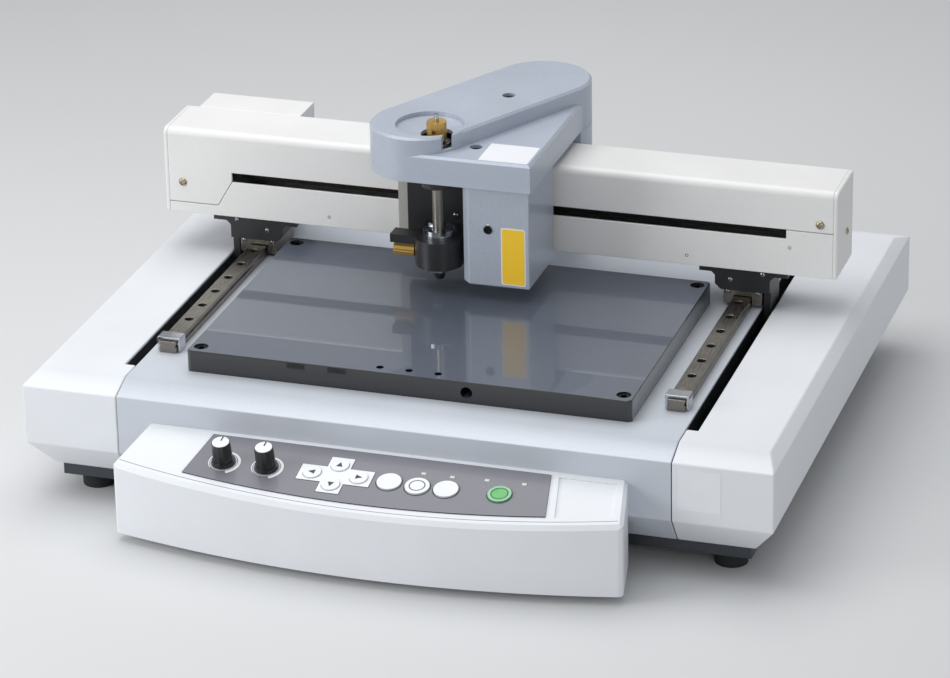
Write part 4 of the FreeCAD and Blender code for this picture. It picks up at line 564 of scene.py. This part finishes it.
def pierced(outline, holes, low, high):
    """Flat plate with round holes, each (across, along, radius): the outline and the rims of the holes are
    filled with triangles at both heights, and walls join them."""
    around = 40
    angle = np.arange(around) * 2 * math.pi / around
    loops = [np.asarray(outline, float)]
    loops += [np.column_stack([x + r * np.cos(angle), y + r * np.sin(angle)])[::-1] for x, y, r in holes]
    work = bmesh.new()
    for loop in loops:
        corners = [work.verts.new((*point, 0)) for point in loop]
        for corner, after in zip(corners, corners[1:] + corners[:1]):
            work.edges.new((corner, after))
    bmesh.ops.triangle_fill(work, use_beauty=True, use_dissolve=False, edges=work.edges)
    bmesh.ops.recalc_face_normals(work, faces=work.faces)
    work.verts.index_update()
    flat = np.vstack(loops)
    upward = sum(face.normal.z for face in work.faces) > 0
    fill = [[corner.index for corner in face.verts][::1 if upward else -1] for face in work.faces]
    work.free()
    count, base, walls = len(flat), 0, []
    for loop in loops:
        turn = np.arange(len(loop))
        here, after = base + turn, base + (turn + 1) % len(loop)
        walls += np.column_stack([here, after, after + count, here + count]).tolist()
        base += len(loop)
    points = np.vstack([np.column_stack([flat, np.full(count, z)]) for z in (low, high)])
    top = [[corner + count for corner in face] for face in fill]
    return points, walls + top + [face[::-1] for face in fill]


def band(middle, inner, outer, low, high, start=0.0, sweep=360.0, taper=0.0, steps=72):
    """Flat ring, or a stretch of one: a four-cornered section carried round an arc. Its width grows from
    1 - taper of the full width at the start to the full width at the end."""
    whole = abs(sweep) >= 360
    count = steps if whole else steps + 1
    share = np.arange(count) / steps
    angle = np.radians(start + sweep * share)
    wide = outer - (outer - inner) * taper * (1 - share)
    section = [(inner + 0 * share, low), (wide, low), (wide, high), (inner + 0 * share, high)]
    rows = [np.column_stack([middle[0] + r * np.cos(angle), middle[1] + r * np.sin(angle),
                             np.full(count, z)]) for r, z in section]
    points = np.stack(rows, 1).reshape(-1, 3)
    faces = [face[::-1] for face in grid_faces(count, 4, close_rows=whole)]
    if not whole:
        last = (count - 1) * 4
        faces += [[0, 1, 2, 3], [last + 3, last + 2, last + 1, last]]
    return points, [face[::-1] for face in faces] if sweep < 0 else faces


def dome(middle, radius, low, rise, edge=0.5, rings=10):
    """Disc with a straight rim and a top that rises as rise times 1 - s squared, s from middle to rim."""
    rows = [(radius, low), (radius, low + edge)]
    rows += [(radius * share, low + edge + rise * (1 - share ** 2))
             for share in np.linspace(0.96, 0.1, rings)]
    return lathe(rows, 48, middle)


# Operators: one for the stage, one for each group of pieces

class ENGRAVER_OT_stage(Operator):
    """Camera at the photograph's angle, pale floor and soft light."""
    bl_idname = "engraver.stage"
    bl_label = "Stage"
    lamps = {"overhead": ((1.6, 1.2), (-0.25, 0.15, 1.35), (0, 0, 0.1)),
             "side": ((0.7, 0.5), (-1.1, -0.85, 0.55), (-0.1, -0.1, 0.12)),
             "fill": ((0.8, 0.5), (1.0, -1.3, 0.6), (0.05, 0, 0.14))}
    sky_colour = (0.93, 0.96, 1.0)

    def execute(self, context):
        settings = context.scene.engraver_stage
        context.scene.view_settings.view_transform = "Standard"
        self.make_camera(context, settings)
        self.make_floor(settings)
        self.make_light(context, settings)
        return {"FINISHED"}

    def make_camera(self, context, settings):
        data = bpy.data.cameras.new("camera")
        data.lens = settings.lens
        data.sensor_width = 36
        data.sensor_fit = "HORIZONTAL"
        data.shift_x, data.shift_y = settings.shift
        data.clip_end = 50
        camera = bpy.data.objects.new("camera", data)
        context.scene.collection.objects.link(camera)
        azimuth, elevation = settings.azimuth, settings.elevation
        back = Vector((math.sin(azimuth) * math.cos(elevation), -math.cos(azimuth) * math.cos(elevation),
                       math.sin(elevation)))
        level = Vector((math.cos(azimuth), math.sin(azimuth), 0))
        upright = back.cross(level)
        cos_roll, sin_roll = math.cos(settings.roll), math.sin(settings.roll)
        right = cos_roll * level + sin_roll * upright
        up = cos_roll * upright - sin_roll * level
        turn = Matrix((right, up, back)).transposed().to_4x4()
        camera.matrix_world = Matrix.Translation(settings.eye) @ turn
        context.scene.camera = camera

    def make_floor(self, settings):
        """A wide flat disc: radius from 0 to 9 m over angle from 0 to a full turn."""
        around, reach = 64, 9.0
        angle = np.arange(around) * 2 * math.pi / around
        points = np.column_stack([reach * np.cos(angle), reach * np.sin(angle), np.zeros(around)])
        mesh = bpy.data.meshes.new("floor")
        mesh.from_pydata(points.tolist(), [], [list(range(around))])
        floor = bpy.data.objects.new("floor", mesh)
        bpy.context.scene.collection.objects.link(floor)
        finish = Finish("floor", colour=settings.floor, Roughness=0.6)
        speck = finish.noise(0.4, 2)
        finish.mottle(speck, speck, 0.005, 0.005)
        mesh.materials.append(finish.material)

    def make_light(self, context, settings):
        world = bpy.data.worlds.new("studio")
        world.use_nodes = True
        sky = world.node_tree.nodes["Background"]
        sky.inputs["Color"].default_value = (*self.sky_colour, 1)
        sky.inputs["Strength"].default_value = settings.sky
        context.scene.world = world
        for name, (size, place, target) in self.lamps.items():
            self.add_lamp(name, getattr(settings, name), size, place, target)

    def add_lamp(self, name, power, size, place, target):
        data = bpy.data.lights.new(name, "AREA")
        data.shape = "RECTANGLE"
        data.size, data.size_y = size
        data.energy = power
        lamp = bpy.data.objects.new(name, data)
        bpy.context.scene.collection.objects.link(lamp)
        lamp.location = place
        lamp.rotation_mode = "QUATERNION"
        lamp.rotation_quaternion = (Vector(target) - Vector(place)).to_track_quat("-Z", "Y")


class ENGRAVER_OT_finishes(Operator):
    """Gives every CAD node the finish of its slot."""
    bl_idname = "engraver.finishes"
    bl_label = "Finishes"

    def execute(self, context):
        MATERIALS.update(make_finishes())
        for node, piece in frame["nodes"].items():
            piece.data.materials.clear()
            piece.data.materials.append(MATERIALS[SLOT_OF[node]])
        return {"FINISHED"}


class ENGRAVER_OT_base_shells(Operator):
    """Covers, deck, table and panel with their edges rounded."""
    bl_idname = "engraver.base_shells"
    bl_label = "Base shells"

    def execute(self, context):
        edges = context.scene.engraver_edges
        for node in ("side_cover_left", "side_cover_right", "panel_housing"):
            softened(node, edges.shell)
        for node in ("deck_panel", "chassis"):
            softened(node, edges.sheet)
        for node in ("work_table", "linear_rails", "rail_stops", "rear_sockets"):
            softened(node, edges.machined)
        softened("panel_overlay", edges.fine, segments=2)
        return {"FINISHED"}


class ENGRAVER_OT_gantry_shells(Operator):
    """Beam, brackets and blocks with their edges rounded."""
    bl_idname = "engraver.gantry_shells"
    bl_label = "Gantry shells"

    def execute(self, context):
        edges = context.scene.engraver_edges
        for node in ("beam_top_cover", "beam_front_plate", "beam_end_caps", "beam_frame", "x_motor_cover"):
            softened(node, edges.sheet)
        for node in ("gantry_brackets", "rail_blocks"):
            softened(node, edges.machined)
        return {"FINISHED"}


class ENGRAVER_OT_head_shells(Operator):
    """Head castings and covers with their edges rounded."""
    bl_idname = "engraver.head_shells"
    bl_label = "Head shells"

    def execute(self, context):
        edges = context.scene.engraver_edges
        for node in ("head_casting", "head_box", "motor_shroud", "belt_cover", "carriage_plate"):
            softened(node, edges.casting)
        for node in ("cutter_holder", "ring_nuts", "clamp_thumbscrew", "depth_nose"):
            softened(node, edges.fine, segments=2)
        return {"FINISHED"}


class ENGRAVER_OT_controls(Operator):
    """Knobs and keys with fine edges, the knobs' white caps and the marks on the keys."""
    bl_idname = "engraver.controls"
    bl_label = "Controls"
    cap_radius = 5.6
    pointer = (0.45, 0.9, 5.3)
    triangle = (2.2, 2.7)
    pause_ring = (4.7, 5.4)
    lit_radius, lit_ring = 5.1, 5.9
    arrows = {"arrow_key_left": 180, "arrow_key_right": 0, "arrow_key_back": 90, "arrow_key_front": 270}

    def execute(self, context):
        edges = context.scene.engraver_edges
        for node in frame["nodes"]:
            if node.endswith(("_knob", "_key")) or "_key_" in node:
                softened(node, edges.fine, segments=2)
        for node in ("rpm_knob", "speed_knob"):
            self.cap(node)
        for node, turn in self.arrows.items():
            self.arrow(node, turn)
        across, along, top = panel_place("round_key_middle")
        ring = band((across, along), *self.pause_ring, top - MARK_SINK, top + MARK_RISE)
        self.mark("pause_ring", [ring], "round_key_middle", "knob_black")
        across, along, top = panel_place("green_key")
        ring = band((across, along), self.lit_radius, self.lit_ring, top - MARK_SINK, top + 0.08)
        self.mark("green_key_ring", [ring], "green_key", "circuit_board")
        middle = dome((across, along), self.lit_radius, top - 0.1, 0.25, edge=0.15)
        self.mark("green_key_middle", [middle], "green_key", "green_plastic", "green_lamp")
        return {"FINISHED"}

    def mark(self, name, parts, node, slot, finish=None):
        add_piece(name, *on_panel(joined(parts)), BODY_OF[node], slot, MATERIALS[finish or slot])

    def cap(self, node):
        across, along, top = panel_place(node)
        cap = dome((across, along), self.cap_radius, top - 0.3, 0.25)
        self.mark(node + "_cap", [cap], node, "key_white")
        half, near, far = self.pointer
        strip = rounded_outline((across - half, along + near), (across + half, along + far), 0.3, 3)
        self.mark(node + "_pointer", [tile(strip, top + 0.1, top + 0.52)], node, "knob_black")

    def arrow(self, node, turn):
        """A triangle whose tip points the given number of degrees round from the right."""
        across, along, top = panel_place(node)
        half, reach = self.triangle
        cosine, sine = math.cos(math.radians(turn)), math.sin(math.radians(turn))
        corners = [(reach, 0), (-0.7 * reach, half), (-0.7 * reach, -half)]
        outline = [(across + x * cosine - y * sine, along + x * sine + y * cosine) for x, y in corners]
        self.mark(node + "_mark", [tile(outline, top - MARK_SINK, top + MARK_RISE)], node, "knob_black")


class ENGRAVER_OT_panel_print(Operator):
    """White and black print of the panel: dial arcs, arrow cross and key rings; and painted shade: black
    rims round the cross and the round keys, and a grey line along its front.
    """
    bl_idname = "engraver.panel_print"
    bl_label = "Panel print"
    arc_radii = (9.5, 11.9)
    base_ring = (8.5, 8.85)
    cross_centre = (-22.8, 30.3)
    cross_reach = (24.6, 17.6)
    cross_half = 7.75
    cross_lift = 0.3
    key_gap = 0.3
    arrow_radius = 6.0
    round_key_shade = (8.1, 9.0)
    green_rim = (7.8, 8.7)
    # Width of the black rim round the cross, which is painted shadow
    outline_width = 0.45
    # Inset and width of the grey line that is painted shade at the front chamfer's edge
    line = (5.2, 0.45)
    front_half, front_reach, end_reach = 172.5, 65.0, 44.0
    end_inset = 3

    def execute(self, context):
        settings = context.scene.engraver_panel
        self.film = settings.film / MM
        self.ink = self.film + settings.print_depth / MM
        self.cosine = math.cos(settings.slope)
        self.dial_arcs()
        self.arrow_cross()
        self.key_rings()
        self.front_line()
        return {"FINISHED"}

    def show(self, name, parts, slot, body="base"):
        add_piece(name, *on_panel(joined(parts)), body, slot, MATERIALS[slot])

    def dial_arcs(self):
        """Each arc starts as a hairline at the lower left and is widest at the lower right."""
        arcs = []
        for node in ("rpm_knob", "speed_knob"):
            across, along, _ = panel_place(node)
            arcs.append(band((across, along), *self.arc_radii, self.film - INK_SINK, self.ink,
                             225, -290, 0.85))
            arcs.append(band((across, along), *self.base_ring, self.film - INK_SINK, self.ink))
        self.show("dial_arcs", arcs, "key_white")

    def cross_outline(self, extra):
        x, y = self.cross_centre[0], -self.cross_centre[1] / self.cosine
        long, tall = self.cross_reach[0] + extra, self.cross_reach[1] / self.cosine + extra
        half = self.cross_half + extra
        outline = [(-long, -half), (-half, -half), (-half, -tall), (half, -tall), (half, -half),
                   (long, -half), (long, half), (half, half), (half, tall), (-half, tall), (-half, half),
                   (-long, half)]
        return [(x + a, y + b) for a, b in outline]

    def arrow_cross(self):
        keys = [panel_place(node)[:2] for node in ENGRAVER_OT_controls.arrows]
        holes = [(across, along, self.arrow_radius + self.key_gap) for across, along in keys]
        # A black rim round the raised cross, painted shadow under its edge
        rim = pierced(self.cross_outline(self.outline_width), holes, self.film - INK_SINK, self.ink)
        plate = pierced(self.cross_outline(0), holes, self.film, self.film + self.cross_lift)
        self.show("arrow_cross_outline", [rim], "knob_black")
        self.show("arrow_cross", [plate], "key_white")

    def key_rings(self):
        """A dark line round each round key, painted shade of the gap round it, and a pale green one round
        the green key.
        """
        # Painted shade: a black ring where the gap round each round key lies
        dark = [self.outline(node, *self.round_key_shade)
                for node in ("round_key_left", "round_key_middle", "round_key_right")]
        self.show("key_outlines", dark, "knob_black")
        self.show("green_outline", [self.outline("green_key", *self.green_rim)], "circuit_board")

    def outline(self, node, inner, outer):
        across, along, _ = panel_place(node)
        return band((across, along), inner + self.key_gap, outer, self.film - INK_SINK, self.ink)

    def front_line(self):
        """A fine grey line a few millimetres behind the front edge, on the same arc: painted shade where the
        top turns into the front chamfer. The arc's radius is (half**2 + rise**2) / (2 * rise), with rise
        from its ends to its middle."""
        rise = self.front_reach - self.end_reach
        radius = (self.front_half ** 2 + rise ** 2) / (2 * rise)
        inset, width = self.line
        rise_over = 0.05
        half = math.asin((self.front_half - self.end_inset) / radius)
        count = 72
        angle = np.linspace(-half, half, count)
        rows = []
        for part, height in ((0, -INK_SINK), (width, -INK_SINK), (width, rise_over), (0, rise_over)):
            reach = radius - inset - part
            forward = self.front_reach - radius + reach * np.cos(angle)
            rows.append(np.column_stack([reach * np.sin(angle), -forward / self.cosine,
                                         np.full(count, height)]))
        last = 4 * count - 4
        faces = grid_faces(count, 4) + [[3, 2, 1, 0], [last, last + 1, last + 2, last + 3]]
        self.show("front_line", [(np.stack(rows, 1).reshape(-1, 3), faces)], "grey_film")


class ENGRAVER_OT_plates(Operator):
    """Bare plates on the head and the right cover."""
    bl_idname = "engraver.plates"
    bl_label = "Plates"
    upright = np.array([(1, 0, 0), (0, 0, 1), (0, -1, 0)])
    shelf_drop = 11.5
    shelf_corners = (10.4, -5.0), (44.6, 26.0)

    def execute(self, context):
        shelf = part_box("belt_cover")[1].z / MM - self.shelf_drop
        flat = tile(rounded_outline(*self.shelf_corners, 0.6, 4), -PLATE_SINK, 0.2)
        add_piece("shelf_plate", *placed(flat, (0, 0, shelf), np.eye(3)), "head", "key_white",
                  MATERIALS["key_white"])
        self.hang("head_plate_rim", (25.2, 117.2), (42.4, 158.6), 1.6, "head_box", 0.12, "head", "key_white")
        self.hang("head_plate", (26.0, 118.0), (41.6, 157.8), 1.2, "head_box", 0.24, "head", "lamp_plastic",
                  MATERIALS["yellow_plate"])
        self.hang("cover_plate", (193, 50), (221, 78), 0.8, "side_cover_right", 0.2, "base", "key_white")
        return {"FINISHED"}

    def hang(self, name, low, high, radius, node, thick, body, slot, material=None):
        """A thin plate on a node's front, from its lower left corner to its upper right one."""
        middle = ((low[0] + high[0]) / 2, -FAR, (low[1] + high[1]) / 2)
        front = seat([node], middle, (0, 1, 0))[1]
        flat = tile(rounded_outline(low, high, radius), -PLATE_SINK, thick)
        add_piece(name, *placed(flat, (0, front, 0), self.upright), body, slot, material or MATERIALS[slot])


class ENGRAVER_OT_screws(Operator):
    """Screws of the beam, brackets, head and rails, and the beam's small notches as shallow black dishes,
    whose black is painted shade.
    """
    bl_idname = "engraver.screws"
    bl_label = "Screws"
    beam_spots = ((-228.6, 141.2), (229.7, 157.2))
    cap_spot = (87, 143.6)
    notch_shade_spots = ((137.5, 125.5), (209, 138.6), (-120, 126), (230.4, 151.2))
    bracket_spots = ((167.5, 110), (190, 116), (186, 100), (165, 100))
    casting_spots = ((-35.6, 163.4), (-19.8, 146.7))
    head_spot = (16.2, 156.2)
    rail_spot, rail_pitch, rail_count = (175.5, -95.5), 25, 12
    # Radius and height of each kind of screw head
    beam_size, cap_size, bracket_size, casting_size = (3.1, 1.6), (2.6, 1.4), (1.9, 1.2), (2.2, 1.3)
    head_size, rail_size = (2.9, 1.1), (2.7, 3.0)
    ring_size = (2.9, 3.6, 0.35)

    def execute(self, context):
        self.beam()
        self.head()
        self.brackets()
        self.rails()
        return {"FINISHED"}

    def fix(self, name, parts, body, slot, finish=None):
        piece = add_piece(name, *joined(parts), body, slot, MATERIALS[finish or slot], True)
        rounding = piece.modifiers.new("sharp edges", "EDGE_SPLIT")
        rounding.split_angle = math.radians(40)

    def face_front(self, part, nodes, spots):
        return [on_nodes(part, nodes, (x, -FAR, z), (0, 1, 0)) for x, z in spots]

    def beam(self):
        skins = ("beam_top_cover", "beam_front_plate", "beam_end_caps")
        heads = self.face_front(screw_head(*self.beam_size), skins, self.beam_spots)
        heads += [on_nodes(screw_head(*self.cap_size), skins, (side * FAR, *self.cap_spot), (-side, 0, 0))
                  for side in (-1, 1)]
        self.fix("beam_screws", heads, "gantry", "beige_plate", "beige_screw")
        # Painted shade: a shallow black dish stands in for the darkness of each small notch in the beam
        notch_dish = lathe([(1.15, -0.3), (1.15, 0.02), (0.95, 0.06), (0.75, 0.0), (0.3, -0.15)], 24)
        self.fix("beam_dimples", self.face_front(notch_dish, skins, self.notch_shade_spots), "gantry", "motor_black")

    def head(self):
        box, spots = ["head_box"], [self.head_spot]
        heads = self.face_front(socket_head(*self.head_size), box, spots)
        self.fix("head_screw", heads, "head", "dark_screw")
        ring = self.face_front(washer(*self.ring_size), box, spots)
        self.fix("head_screw_ring", ring, "head", "bright_chrome")
        castings = ("head_casting", "z_slide_block", "head_box")
        heads = self.face_front(screw_head(*self.casting_size), castings, self.casting_spots)
        self.fix("casting_screws", heads, "head", "bright_steel")

    def brackets(self):
        spots = [(side * x, z) for x, z in self.bracket_spots for side in (-1, 1)]
        heads = self.face_front(screw_head(*self.bracket_size), ("gantry_brackets", "rail_blocks"), spots)
        self.fix("bracket_screws", heads, "gantry", "bright_steel")

    def rails(self):
        """A cap screw at the bottom of each counterbore, at first + k * pitch along both rails."""
        x, first = self.rail_spot
        head = socket_head(*self.rail_size)
        heads = [on_nodes(head, ["linear_rails"], (side * x, first + k * self.rail_pitch, 300), (0, 0, -1))
                 for side in (-1, 1) for k in range(self.rail_count)]
        self.fix("rail_screws", heads, "base", "dark_screw")


class ENGRAVER_PT_looks(Panel):
    """Buttons for the stage and each group of pieces."""
    bl_idname = "ENGRAVER_PT_looks"
    bl_label = "Engraver"
    bl_space_type = "VIEW_3D"
    bl_region_type = "UI"
    bl_category = "Engraver"

    def draw(self, context):
        for operator in STEPS:
            self.layout.operator(operator.bl_idname)


MATERIALS = {}
STEPS = (ENGRAVER_OT_stage, ENGRAVER_OT_finishes, ENGRAVER_OT_base_shells, ENGRAVER_OT_gantry_shells,
         ENGRAVER_OT_head_shells, ENGRAVER_OT_controls, ENGRAVER_OT_panel_print, ENGRAVER_OT_plates,
         ENGRAVER_OT_screws)
SETTINGS = {"engraver_stage": StageSettings, "engraver_edges": EdgeSettings, "engraver_panel": PanelSettings,
            "engraver_finish": FinishSettings}


def register():
    for name, group in SETTINGS.items():
        bpy.utils.register_class(group)
        setattr(bpy.types.Scene, name, PointerProperty(type=group))
    for item in (*STEPS, ENGRAVER_PT_looks):
        bpy.utils.register_class(item)


def unregister():
    for item in (ENGRAVER_PT_looks, *STEPS[::-1]):
        bpy.utils.unregister_class(item)
    for name, group in SETTINGS.items():
        delattr(bpy.types.Scene, name)
        bpy.utils.unregister_class(group)


def main():
    register()
    for step in STEPS:
        group, name = step.bl_idname.split(".")
        getattr(getattr(bpy.ops, group), name)()


if __name__ == "__main__":
    main()
